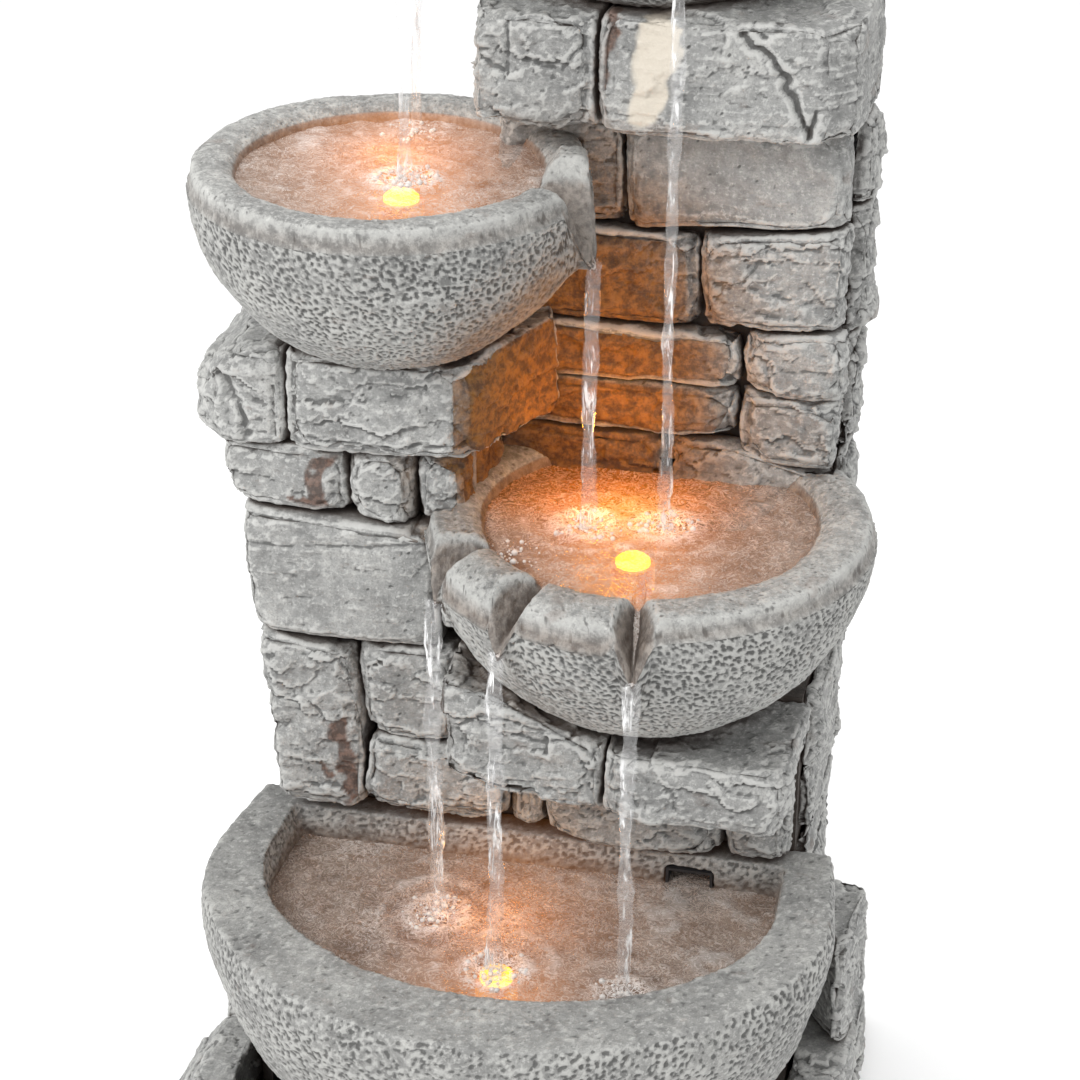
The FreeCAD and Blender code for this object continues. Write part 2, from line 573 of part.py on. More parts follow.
def flow_knob():
    x1, y0 = PUMP[1], PUMP[2]
    x_axis = V(1, 0, 0)
    knob = cylinder(x1 + 0.5, y0 + 28, IMPELLER_Z, 8, 5, x_axis)
    knob = knob.fuse(cylinder(x1 - 8, y0 + 28, IMPELLER_Z, 3.0, 9, x_axis))
    return knob.fuse(block(x1 + 5.5, x1 + 9, y0 + 26.8, y0 + 29.2, IMPELLER_Z - 7, IMPELLER_Z + 7))


def suction_cups():
    x0, x1, y0, y1, z0, _ = PUMP
    floor = SUMP[4] + SUMP_WALL
    cups = []
    for x in (x0 + 10, x1 - 10):
        for y in (y0 + 9, y1 - 9):
            cup = Part.makeCone(8, 4, 6, V(x, y, floor), UP)
            cups.append(cup.fuse(cylinder(x, y, floor + 5, 4, z0 - floor - 5)))
    return group(cups)


def rounded_path(points):
    """Straight runs joined by tangent arcs; an arc takes up to 0.45 of the shorter run beside it."""
    edges = []
    here = points[0]
    for a, p, b in zip(points, points[1:], points[2:]):
        into = p - a
        away = b - p
        turn = into.getAngle(away)
        trim = 0.45 * min(into.Length, away.Length)
        radius = trim / math.tan(turn / 2)
        d1 = V(into).normalize()
        d2 = V(away).normalize()
        start = p - d1 * trim
        end = p + d2 * trim
        print("  bend radius", round(radius, 1))
        centre_way = (d2 - d1).normalize()
        centre = p + centre_way * (radius / math.cos(turn / 2))
        middle = centre - centre_way * radius
        edges.append(Part.LineSegment(here, start).toShape())
        edges.append(Part.Arc(start, middle, end).toShape())
        here = end
    edges.append(Part.LineSegment(here, points[-1]).toShape())
    return Part.Wire(edges)


def tube(points, radius, bore=0.0):
    path = rounded_path(points)
    start = (points[1] - points[0]).normalize()

    def sweep(r):
        section = Part.Wire([Part.makeCircle(r, points[0], start)])
        return path.makePipeShell([section], True, True)
    body = sweep(radius)
    share = body.Volume / (math.pi * radius ** 2 * path.Length)
    print("  length", round(path.Length, 1), "volume over section times length", round(share, 3))
    return body.cut(sweep(bore)) if bore else body


def riser_hose():
    route = [
        V(OUTLET_X, OUTLET_Y, PUMP[5] + 2), V(OUTLET_X, OUTLET_Y, 235),
        V(HOSE_X, HOSE_Y, 325), V(HOSE_X, HOSE_Y, SLAB_TOP - 12)]
    return tube(route, HOSE_R, HOSE_BORE)


def hose_clamps():
    low = ring(OUTLET_X, OUTLET_Y, PUMP[5] + 6, HOSE_R + 1.2, HOSE_R, 7)
    low = low.fuse(block(OUTLET_X + HOSE_R + 0.5, OUTLET_X + HOSE_R + 7, OUTLET_Y - 3, OUTLET_Y + 3,
                         PUMP[5] + 6, PUMP[5] + 13))
    high = ring(HOSE_X, HOSE_Y, SLAB_TOP - 26, HOSE_R + 1.2, HOSE_R, 7)
    return group([low, high])


def top_outlet():
    floor = TOP_BOWL["floor"]
    flange = cylinder(HOSE_X, HOSE_Y, floor, 17, 4)
    stem = cylinder(HOSE_X, HOSE_Y, SLAB_TOP - 30, HOSE_BORE, floor - SLAB_TOP + 31)
    head = Part.makeCone(11, 8, 16, V(HOSE_X, HOSE_Y, floor + 4), UP)
    return flange.fuse(stem).fuse(head).cut(cylinder(HOSE_X, HOSE_Y, SLAB_TOP - 40, 5, 100))


def light_housings():
    return group([
        cylinder(x, y, z, LIGHT_R, LIGHT_H - 4).fuse(ring(x, y, z + LIGHT_H - 4, LIGHT_R, LIGHT_R - 3, 4))
        for x, y, z in LIGHTS.values()])


def light_lenses():
    lenses = []
    for x, y, z in LIGHTS.values():
        dome = Part.makeSphere(16, V(x, y, z + LIGHT_H - 8), UP, 0, 90, 360)
        dome = dome.common(cylinder(x, y, z + LIGHT_H - 4, LIGHT_R - 3.05, 20))
        lenses.append(dome)
    return group(lenses)


def light_leads():
    x, y, z = LIGHTS["left"]
    left = [V(x, y, z), V(x, y, 440), V(-150, 136, 350), V(-150, 136, JUNCTION[5])]
    x, y, z = LIGHTS["right"]
    right = [V(x, y, z), V(x, y, 335), V(-40, 112, 296), V(-138, 146, 300), V(-138, 146, JUNCTION[5])]
    x, y, z = LIGHTS["basin"]
    pond = [V(x, y, z), V(x, y, 62), V(x, 80, 62), V(-146, 140, 100), V(-146, 140, JUNCTION[4])]
    return group([tube(route, LEAD_R) for route in (left, right, pond)])


def light_grommets():
    """Seals round the leads where they leave a pond."""
    return group([ring(x, y, z - 6, LEAD_HOLE_R, LEAD_R, 6) for x, y, z in LIGHTS.values()])


def pump_lead():
    x, z = GLAND
    route = [
        V(-4, 122, PUMP[5]), V(-4, 122, 262), V(-84, 118, 268), V(x, 103, 200), V(x, 103, z), V(x, 181, z)]
    return tube(route, 3.5)


def junction_box():
    return block(*JUNCTION).fuse(block(CORE_LEFT + WALL, JUNCTION[0], 128, 152, 206, 236))


def cable_gland():
    x, z = GLAND
    y_axis = V(0, 1, 0)
    body = cylinder(x, BACK_Y - WALL - 8, z, 7.9, WALL + 8, y_axis)
    body = body.fuse(cylinder(x, BACK_Y, z, 12, 4, y_axis))
    body = body.fuse(Part.makeCone(9, 6.5, 5, V(x, BACK_Y + 4, z), y_axis))
    return body.cut(cylinder(x, BACK_Y - 20, z, 3.6, 60, y_axis))


# --- making -----------------------------------------------------------------------------
save(rubber_feet(), "rubber_feet")
save(base_plate(), "base_plate")
save(base_plinth(), "base_plinth")
save(tower_core(), "tower_core")
save(lower_basin(), "lower_basin")
save(drain_plug(), "drain_plug")

# what the tower and the top outlet take out of the bowls
COLUMN_WAY = block(-52, 190, STONE_FACE_Y - 4, 400, 300, 900)
PIER_WAY = block(-300, -41.5, -9, 400, 200, 600)
BACK_WAY = block(-BIG, BIG, BACK_Y, 2 * BIG, 0, 2000)
OUTLET_WAY = cylinder(HOSE_X, HOSE_Y, 800, HOSE_BORE, 100)
FLANGE_WAY = cylinder(HOSE_X, HOSE_Y, TOP_BOWL["floor"], 17.3, 40)
save(bowl(RIGHT_BOWL, RIGHT_SPOUTS, [COLUMN_WAY, PIER_WAY], "right"), "right_bowl")
save(bowl(LEFT_BOWL, LEFT_SPOUTS, [COLUMN_WAY], "left"), "left_bowl")
save(bowl(TOP_BOWL, TOP_SPOUTS, [BACK_WAY, OUTLET_WAY, FLANGE_WAY]), "top_bowl")

lay_stones()
lay_ledges()
lay_sides()
lay_base()

for make in (pump_sump, inlet_screen, pump_housing, pump_cover, impeller_shaft, impeller, pump_strainer,
             flow_knob, suction_cups, riser_hose, hose_clamps, top_outlet, light_housings, light_lenses,
             light_grommets, light_leads, pump_lead, junction_box, cable_gland, rear_door, door_seal):
    save(make(), make.__name__)
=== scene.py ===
import itertools
import math

import bmesh
import bpy
import numpy as np
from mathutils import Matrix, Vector


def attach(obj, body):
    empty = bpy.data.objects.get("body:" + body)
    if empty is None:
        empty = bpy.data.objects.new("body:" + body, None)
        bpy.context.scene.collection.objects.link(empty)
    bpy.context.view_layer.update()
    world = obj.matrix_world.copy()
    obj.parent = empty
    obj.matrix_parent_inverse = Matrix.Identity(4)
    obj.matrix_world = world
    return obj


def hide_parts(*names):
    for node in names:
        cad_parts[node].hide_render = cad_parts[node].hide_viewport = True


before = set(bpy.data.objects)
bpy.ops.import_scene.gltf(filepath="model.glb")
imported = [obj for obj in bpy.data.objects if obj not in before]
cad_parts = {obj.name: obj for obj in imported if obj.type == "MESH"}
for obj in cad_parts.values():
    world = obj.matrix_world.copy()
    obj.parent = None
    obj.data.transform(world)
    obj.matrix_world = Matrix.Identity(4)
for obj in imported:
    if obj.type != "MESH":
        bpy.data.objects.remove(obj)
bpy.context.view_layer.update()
MM = 0.001


def new_object(name, data):
    thing = bpy.data.objects.new(name, data)
    bpy.context.scene.collection.objects.link(thing)
    return thing


# --- camera ---
LOOKS_DOWN = 28.3
FROM_THE_RIGHT = 13
camera = new_object("camera", bpy.data.cameras.new("camera"))
camera.location = (0.364, -1.5525, 1.350)
camera.rotation_euler = (math.radians(90 - LOOKS_DOWN), 0, math.radians(FROM_THE_RIGHT))
camera.data.sensor_width = 36
camera.data.lens = 91.67
camera.data.clip_end = 50
bpy.context.scene.camera = camera
bpy.context.scene.view_settings.view_transform = "Standard"

# --- places, in mm ---
# Each bowl: centre x and y; heights of rim, underside (base), hollow (floor) and water (level);
# radii outside (r), of the hollow (ri) and of the foot.
LEFT = dict(x=-103, y=43, rim=735, r=130, ri=101, foot=62, base=613, floor=648, level=723)
RIGHT = dict(x=73, y=33, rim=507, r=150, ri=115, foot=74, base=375, floor=424, level=495)
TOP = dict(x=48, y=158, rim=943, r=134, ri=105, foot=78, base=832, floor=860, level=931)
BASIN_LEVEL = 225
BACK_Y = 186
STONE_VOXEL = 1.7
BASIN_VOXEL = 1.9
LIGHTS = {"left": (-111, 96, 684), "right": (57, 58, 450), "basin": (-15, -47, 166)}


# --- noise ---
def hashed(ix, iy, iz, salt):
    """A repeatable number from 0 to 1 for each lattice point."""
    h = ix.astype(np.uint32) * np.uint32(0x8DA6B343)
    h ^= iy.astype(np.uint32) * np.uint32(0xD8163841)
    h ^= iz.astype(np.uint32) * np.uint32(0xCB1AB31F)
    h ^= np.uint32((salt * 0x9E3779B1) & 0xFFFFFFFF)
    h ^= h >> np.uint32(15)
    h *= np.uint32(0x2C1B3C6D)
    h ^= h >> np.uint32(12)
    h *= np.uint32(0x297A2D39)
    h ^= h >> np.uint32(15)
    return (h >> np.uint32(8)).astype(np.float32) / np.float32(1 << 24)


def lattice(p, size):
    """The lattice cell of each point, and the point's place in it from 0 to 1."""
    q = p / np.asarray(size, np.float32)
    base = np.floor(q)
    return base.astype(np.int64), (q - base).astype(np.float32)


def noise(p, size, salt=0):
    """Smooth value noise, -1 to 1, with features about size across; size may be one number or three."""
    i, f = lattice(p, size)
    f = f * f * f * (f * (f * 6 - 15) + 10)
    out = np.zeros(len(p), np.float32)
    for step in itertools.product((0, 1), repeat=3):
        wx, wy, wz = (f[:, k] if step[k] else 1 - f[:, k] for k in range(3))
        out += wx * wy * wz * hashed(*(i[:, k] + step[k] for k in range(3)), salt)
    return out * 2 - 1


def fractal(p, size, octaves, salt=0, fade=0.5):
    """Noise of several sizes, each half the one before and fade times as strong."""
    out = np.zeros(len(p), np.float32)
    size = np.asarray(size, np.float32)
    weight, total = 1.0, 0.0
    for octave in range(octaves):
        out += weight * noise(p, size, salt + 31 * octave)
        total += weight
        weight *= fade
        size = size * 0.5
    return out / total * 1.6


def neighbours(p, size, salt):
    """Each of the 27 cells round the points, and the way from the points to its scattered point."""
    i, f = lattice(p, size)
    for step in itertools.product((-1, 0, 1), repeat=3):
        cell = [i[:, k] + step[k] for k in range(3)]
        yield cell, [step[k] + hashed(*cell, salt + k) - f[:, k] for k in range(3)]


def cells(p, size, salt=0):
    """Distance to the nearest scattered point, in cell sizes."""
    near = np.full(len(p), 9, np.float32)
    for _, (x, y, z) in neighbours(p, size, salt):
        near = np.minimum(near, np.sqrt(x * x + y * y + z * z))
    return near


def facets(p, size, salt, step, tilt):
    """Broken flats: each cell of a scattered pattern has its own depth and its own slight slope."""
    near = np.full(len(p), 9, np.float32)
    height = np.zeros(len(p), np.float32)
    for cell, (x, y, z) in neighbours(p, size, salt):
        level, across, upward = (hashed(*cell, salt + k) for k in (3, 4, 5))
        flat = (level * 2 - 1) * step
        flat += ((across - 0.5) * (x + y) + (upward - 0.3) * z) * tilt
        d = x * x + y * y + z * z
        height = np.where(d < near, flat, height)
        near = np.minimum(near, d)
    return height


def smooth(a, b, x):
    """0 where x is at a, 1 where it is at b, eased in between."""
    t = np.clip((x - a) / (b - a), 0, 1)
    return t * t * (3 - 2 * t)


def terrace(h, step, soft):
    """h cut into flat steps joined by short steep risers."""
    k = h / step
    base = np.floor(k)
    return (base + smooth(0.5 - soft / 2, 0.5 + soft / 2, k - base)) * step


def crack(p, line, width, depth):
    """Depth of a V-shaped crack that follows line, a list of (x, z) points."""
    uv = p[:, (0, 2)]
    best = np.full(len(p), 1e9, np.float32)
    for s, e in zip(line, line[1:]):
        s, e = np.array(s, np.float32), np.array(e, np.float32)
        d = e - s
        t = np.clip(((uv - s) @ d) / (d @ d), 0, 1)
        best = np.minimum(best, np.hypot(*(uv - s - t[:, None] * d).T))
    return depth * np.clip(1 - best / width, 0, 1)


# --- meshes ---
def read(rows, key, width, kind=np.float32):
    """One property of all vertices or edges, a row of width numbers for each."""
    out = np.empty(len(rows) * width, kind)
    rows.foreach_get(key, out)
    return out.reshape(-1, width)


def get_points(mesh):
    return read(mesh.vertices, "co", 3) / np.float32(MM)


def get_normals(mesh):
    return read(mesh.vertex_normals, "vector", 3)


def get_edges(mesh):
    return read(mesh.edges, "vertices", 2, np.int32)


def set_points(mesh, points):
    mesh.vertices.foreach_set("co", (points * MM).astype(np.float32).ravel())
    mesh.update()


def blurred(values, edges, rounds):
    """Values evened out along the mesh's edges."""
    count = np.bincount(edges.ravel(), minlength=len(values)).astype(np.float32)
    for _ in range(rounds):
        total = np.bincount(edges[:, 0], values[edges[:, 1]], len(values))
        total += np.bincount(edges[:, 1], values[edges[:, 0]], len(values))
        values = (0.5 * values + 0.5 * total / np.maximum(count, 1)).astype(np.float32)
    return values


def store(mesh, name, values):
    """Keeps a value for each vertex, for the material to read."""
    layer = mesh.attributes.get(name) or mesh.attributes.new(name, "FLOAT", "POINT")
    layer.data.foreach_set("value", values.astype(np.float32))


def shade_smooth(mesh):
    mesh.polygons.foreach_set("use_smooth", np.ones(len(mesh.polygons), bool))


def quad_mesh(name, points, faces):
    mesh = bpy.data.meshes.new(name)
    mesh.from_pydata((np.asarray(points) * MM).tolist(), [], faces)
    mesh.update()
    shade_smooth(mesh)
    return mesh


def grid_faces(rows, cols, wrap):
    """Quads of a rows x cols grid of points; wrap joins the last column to the first."""
    r, c = np.meshgrid(np.arange(rows - 1), np.arange(cols if wrap else cols - 1), indexing="ij")
    a = r * cols + c
    b = r * cols + (c + 1) % cols
    return np.stack([a, b, b + cols, a + cols], -1).reshape(-1, 4).tolist()


def remeshed(mesh, voxel, name):
    """A new mesh of even quads, voxel mm across, over the closed surface of mesh."""
    carrier = new_object("carrier", mesh)
    modifier = carrier.modifiers.new("remesh", "REMESH")
    modifier.mode = "VOXEL"
    modifier.voxel_size = voxel * MM
    modifier.use_smooth_shade = True
    bpy.context.view_layer.update()
    result = bpy.data.meshes.new_from_object(carrier.evaluated_get(bpy.context.evaluated_depsgraph_get()))
    result.name = name
    bpy.data.objects.remove(carrier)
    return result


def welded(node):
    """A CAD node's mesh with its faces joined at their edges."""
    bm = bmesh.new()
    bm.from_mesh(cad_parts[node].data)
    bmesh.ops.remove_doubles(bm, verts=bm.verts, dist=1e-5)
    return bm


def solids_of(node):
    """The vertex positions of each separate solid of a CAD node, in metres, in a fixed order."""
    bm = welded(node)
    seen, parts = set(), []
    for start in bm.verts:
        if start in seen:
            continue
        stack, part = [start], []
        seen.add(start)
        while stack:
            v = stack.pop()
            part.append(v.co.copy())
            for e in v.link_edges:
                w = e.other_vert(v)
                if w not in seen:
                    seen.add(w)
                    stack.append(w)
        parts.append(part)
    bm.free()
    parts.sort(key=lambda part: tuple(round(sum(v[k] for v in part) / len(part), 4) for k in (2, 0, 1)))
    return parts


def hull_of(points):
    """Convex hull mesh, and its flat sides as (unit normal, distance) in mm."""
    bm = bmesh.new()
    for p in points:
        bm.verts.new(p)
    bmesh.ops.convex_hull(bm, input=bm.verts)
    loose = [v for v in bm.verts if not v.link_faces]
    bmesh.ops.delete(bm, geom=loose, context="VERTS")
    bmesh.ops.recalc_face_normals(bm, faces=bm.faces)
    bm.normal_update()
    planes = []
    for f in sorted(bm.faces, key=lambda f: -f.calc_area()):
        n = np.array(f.normal)
        if f.calc_area() > 2e-6 and all(n @ m < 0.985 for m, _ in planes):
            planes.append((n, float(n @ np.array(f.verts[0].co)) / MM))
    mesh = bpy.data.meshes.new("hull")
    bm.to_mesh(mesh)
    bm.free()
    return mesh, planes


def join(name, meshes):
    """One mesh of several, keeping their point attributes."""
    pieces = [new_object("part", m) for m in meshes]
    if len(pieces) > 1:
        with bpy.context.temp_override(active_object=pieces[0], selected_editable_objects=pieces,
                                       selected_objects=pieces, object=pieces[0]):
            bpy.ops.object.join()
    pieces[0].name = name
    pieces[0].data.name = name
    return pieces[0]


# --- materials ---
class Nodes:
    """Short calls for building a material's node tree."""

    def __init__(self, name):
        self.material = bpy.data.materials.new(name)
        self.material.use_nodes = True
        self.tree = self.material.node_tree
        self.shader = self.tree.nodes["Principled BSDF"]

    def add(self, kind, **settings):
        node = self.tree.nodes.new(kind)
        for key, value in settings.items():
            setattr(node, key, value)
        return node

    def link(self, a, b):
        self.tree.links.new(a, b)

    def put(self, socket, value):
        if isinstance(value, bpy.types.NodeSocket):
            self.link(value, socket)
        else:
            socket.default_value = value

    def math(self, operation, a, b=0.0, clamp=False):
        node = self.add("ShaderNodeMath", operation=operation, use_clamp=clamp)
        self.put(node.inputs[0], a)
        self.put(node.inputs[1], b)
        return node.outputs[0]

    def times(self, a, b, clamp=False):
        return self.math("MULTIPLY", a, b, clamp)

    def plus(self, a, b, clamp=False):
        return self.math("ADD", a, b, clamp)

    def minus(self, a, b):
        return self.math("SUBTRACT", a, b)

    def attribute(self, name):
        return self.add("ShaderNodeAttribute", attribute_name=name).outputs["Fac"]

    def place(self, scale=(1, 1, 1)):
        """The object's own metres, scaled: the frame's coordinates, since objects sit at the origin."""
        mapping = self.add("ShaderNodeMapping")
        mapping.inputs["Scale"].default_value = scale
        self.link(self.add("ShaderNodeTexCoord").outputs["Object"], mapping.inputs[0])
        return mapping.outputs[0]

    def noise(self, size, detail=4.0, rough=0.55, place=None, distortion=0.0):
        """Noise texture whose features are about size mm across."""
        node = self.add("ShaderNodeTexNoise")
        self.link(place or self.place(), node.inputs["Vector"])
        node.inputs["Scale"].default_value = 1000.0 / size
        node.inputs["Detail"].default_value = detail
        node.inputs["Roughness"].default_value = rough
        node.inputs["Distortion"].default_value = distortion
        return node.outputs["Fac"]

    def cells(self, size, feature="F1"):
        """Scattered cells about size mm across."""
        node = self.add("ShaderNodeTexVoronoi", feature=feature)
        self.link(self.place(), node.inputs["Vector"])
        node.inputs["Scale"].default_value = 1000.0 / size
        return node.outputs["Distance"]

    def ramp(self, value, *stops):
        """Colours by value; stops are (position, colour)."""
        node = self.add("ShaderNodeValToRGB")
        ramp = node.color_ramp
        while len(ramp.elements) < len(stops):
            ramp.elements.new(0.5)
        for element, (position, colour) in zip(ramp.elements, stops):
            element.position = position
            element.color = (*colour, 1)
        self.link(value, node.inputs[0])
        return node.outputs[0]

    def span(self, value, low, high):
        """value mapped so that low gives 0 and high gives 1, clamped."""
        node = self.add("ShaderNodeMapRange", interpolation_type="SMOOTHSTEP")
        self.link(value, node.inputs["Value"])
        node.inputs["From Min"].default_value = low
        node.inputs["From Max"].default_value = high
        return node.outputs["Result"]

    def mix(self, factor, a, b):
        node = self.add("ShaderNodeMix", data_type="RGBA")
        node.clamp_factor = True
        self.put(node.inputs["Factor"], factor)
        for socket, value in ((node.inputs[6], a), (node.inputs[7], b)):
            if not isinstance(value, bpy.types.NodeSocket) and len(value) == 3:
                value = (*value, 1)
            self.put(socket, value)
        return node.outputs[2]

    def bump(self, height, depth, strength, onto=None):
        """Bump whose height 0 to 1 stands for depth mm."""
        node = self.add("ShaderNodeBump")
        node.inputs["Strength"].default_value = strength
        node.inputs["Distance"].default_value = depth * MM
        self.link(height, node.inputs["Height"])
        if onto:
            self.link(onto, node.inputs["Normal"])
        return node.outputs["Normal"]

    def shade(self, **values):
        for key, value in values.items():
            self.put(self.shader.inputs[key.replace("_", " ")], value)
        return self.material


# A dark brown: painted shade in the joints and recesses, and the colour of brown stains.
SHADE_AND_STAIN_BROWN = (0.060, 0.040, 0.030)


def stone_material(name, dark, mid, light, grain=1.0, streak=1.0, paleness=1.0, damp=False, rear=None):
    """Cast stone: painted shade in the joints and recesses, darker in the hollows, mottled grey, paler ridges
    and edges, painted amber light near the sunk lights.
    """
    n = Nodes(name)
    relief = n.attribute("relief")
    edge = n.attribute("edge")
    broad = n.noise(48, 4, 0.6)
    mottle = n.noise(7, 6, 0.72)
    fine = n.noise(1.5, 4, 0.72)
    flecks = n.noise(3.2, 4, 0.75)
    lines = n.noise(2.4, 4, 0.65, n.place((0.22, 0.22, 1)), 0.5)
    uneven = n.minus(mottle, 0.5)
    tone = n.plus(n.times(mottle, 0.5), n.times(broad, 0.5))
    colour = n.ramp(tone, (0.38, dark), (0.50, mid), (0.63, light))
    pale = tuple(min(1, c * 1.30 + 0.05) for c in light)
    colour = n.mix(n.times(n.span(lines, 0.52, 0.64), 0.34 * streak), colour, light)
    colour = n.mix(n.times(n.span(flecks, 0.54, 0.66), 0.50), colour, pale)
    colour = n.mix(n.times(n.span(fine, 0.52, 0.38), 0.42), colour, dark)
    # Paler where the surface stands proud and along edges; on a bowl's rim and tops this is painted
    # highlight.
    high = n.span(n.plus(relief, n.times(uneven, 2.4)), 0.25, 1.25)
    rim = n.span(n.plus(edge, n.times(uneven, 2.2)), 0.45, 1.15)
    paler_ridges_and_rims = n.math("MAXIMUM", n.times(high, 0.55 * paleness), n.times(rim, 0.60 * paleness))
    colour = n.mix(paler_ridges_and_rims, colour, pale)
    low = n.span(n.minus(n.times(uneven, 1.2), relief), 0.30, 1.50)
    colour = n.mix(n.times(low, 0.72), colour, tuple(c * 0.34 for c in dark))
    if not damp:
        colour = n.mix(n.times(n.attribute("patch"), 0.85), colour, (0.62, 0.56, 0.47))
        rusty = n.mix(n.span(mottle, 0.42, 0.6), (0.050, 0.026, 0.017), (0.150, 0.080, 0.055))
        colour = n.mix(n.times(n.attribute("rust"), 0.85), colour, rusty)
    # Painted light and shade: the amber of the sunk lights, darker in the hollow, mixed into the colour where
    # it falls.
    painted_amber_colour = n.mix(n.span(mottle, 0.36, 0.64), (0.055, 0.019, 0.002), (0.210, 0.088, 0.006))
    colour = n.mix(n.times(n.attribute("amber_light_and_shade"), 0.92), colour, painted_amber_colour)
    brown = n.span(n.noise(30, 5, 0.65, n.place((1, 1, 1.6))), 0.60, 0.70)
    browned = n.times(brown, n.minus(0.26, n.times(n.attribute("amber_light_and_shade"), 0.26)))
    colour = n.mix(browned, colour, tuple(w * 2.8 for w in SHADE_AND_STAIN_BROWN))
    if damp:
        soaked = n.attribute("damp")
        stain = n.mix(n.span(mottle, 0.4, 0.62), (0.085, 0.055, 0.038), (0.20, 0.150, 0.115))
        colour = n.mix(n.times(soaked, 0.82), colour, stain)
    # Painted shade: joints and recesses found by ambient occlusion are darkened.
    occlusion = n.add("ShaderNodeAmbientOcclusion", samples=6)
    occlusion.inputs["Distance"].default_value = 0.020
    painted_joint_shade = n.span(n.minus(1.0, occlusion.outputs["AO"]), 0.40, 0.88)
    colour = n.mix(n.times(painted_joint_shade, 0.92), colour, SHADE_AND_STAIN_BROWN)
    if rear:
        apart = n.add("ShaderNodeSeparateXYZ")
        n.link(n.place(), apart.inputs[0])
        open_back = n.span(apart.outputs[1], (BACK_Y - 1.2) * MM, (BACK_Y - 0.4) * MM)
        plain = n.ramp(tone, (0.40, rear[0]), (0.62, rear[1]))
        plain = n.mix(n.times(n.span(fine, 0.52, 0.38), 0.35), plain, rear[0])
        colour = n.mix(open_back, colour, plain)
    pits = n.cells(2.1)
    height = n.plus(n.times(fine, 0.45), n.times(flecks, 0.55))
    normal = n.bump(lines, 0.55 * streak, 0.6)
    normal = n.bump(height, 1.25 * grain, 0.95, normal)
    normal = n.bump(n.span(pits, 0.0, 0.30), 0.5 * grain, 0.40, normal)
    rough = n.plus(n.times(mottle, 0.30), 0.60)
    if damp:
        rough = n.minus(rough, n.times(soaked, 0.42))
        # Painted light: the glow of the sunk lights on the hollow round them, as emission.
        painted_led_glow = n.mix(n.attribute("glow"), (0, 0, 0), (1.0, 0.30, 0.03))
        n.shade(Emission_Color=painted_led_glow, Emission_Strength=2.0)
    return n.shade(Base_Color=colour, Roughness=rough, Normal=normal, Specular_IOR_Level=0.4)


def plain_material(name, colour, other, rough, size=6, depth=0.06, metallic=0.0):
    """Moulded or turned material: two close tones, fine texture and worn roughness."""
    n = Nodes(name)
    cloud = n.noise(size * 6, 4, 0.6)
    fine = n.noise(size * 0.12, 3, 0.6)
    base = n.mix(n.span(cloud, 0.35, 0.65), colour, other)
    wear = n.span(n.noise(size * 1.4, 5, 0.7, n.place((1, 1, 0.25))), 0.56, 0.74)
    worn = tuple(min(1, c * 1.9 + 0.02) for c in colour)
    base = n.mix(n.times(wear, 0.28), base, worn)
    roughness = n.plus(n.times(cloud, 0.22), rough - 0.11)
    return n.shade(Base_Color=base, Roughness=roughness, Metallic=metallic, Normal=n.bump(fine, depth, 0.7))


split = stone_material(
    "split_stone_finish", (0.165, 0.166, 0.162), (0.275, 0.276, 0.268), (0.400, 0.398, 0.382))
cast = stone_material(
    "cast_bowl_finish", (0.155, 0.155, 0.150), (0.262, 0.262, 0.252), (0.375, 0.373, 0.355),
    grain=0.9, streak=0.1, paleness=0.8, damp=True)
# Painted shade: the core and plinth are near black where they show between the stones; the open back keeps a
# grey stone colour.
shaded_core_finish = stone_material(
    "cast_core_painted_shade_finish", (0.030, 0.025, 0.022), (0.055, 0.045, 0.038), (0.095, 0.080, 0.070),
    paleness=0.2, rear=((0.150, 0.148, 0.142), (0.270, 0.268, 0.256)))


# --- stones ---
# How far a rough face may lie under or over the face of its CAD block.
DEEPEST = -15.0
PROUDEST = 2.6


def covered(p, n, own):
    """1 where a point faces into a neighbouring stone, 0 where it faces the open."""
    probe = p + n * 6
    hidden = np.zeros(len(p), np.float32)
    for index, (low, high) in enumerate(STONE_BOXES):
        if index != own:
            hidden[((probe > low - 0.5) & (probe < high + 0.5)).all(1)] = 1
    return hidden


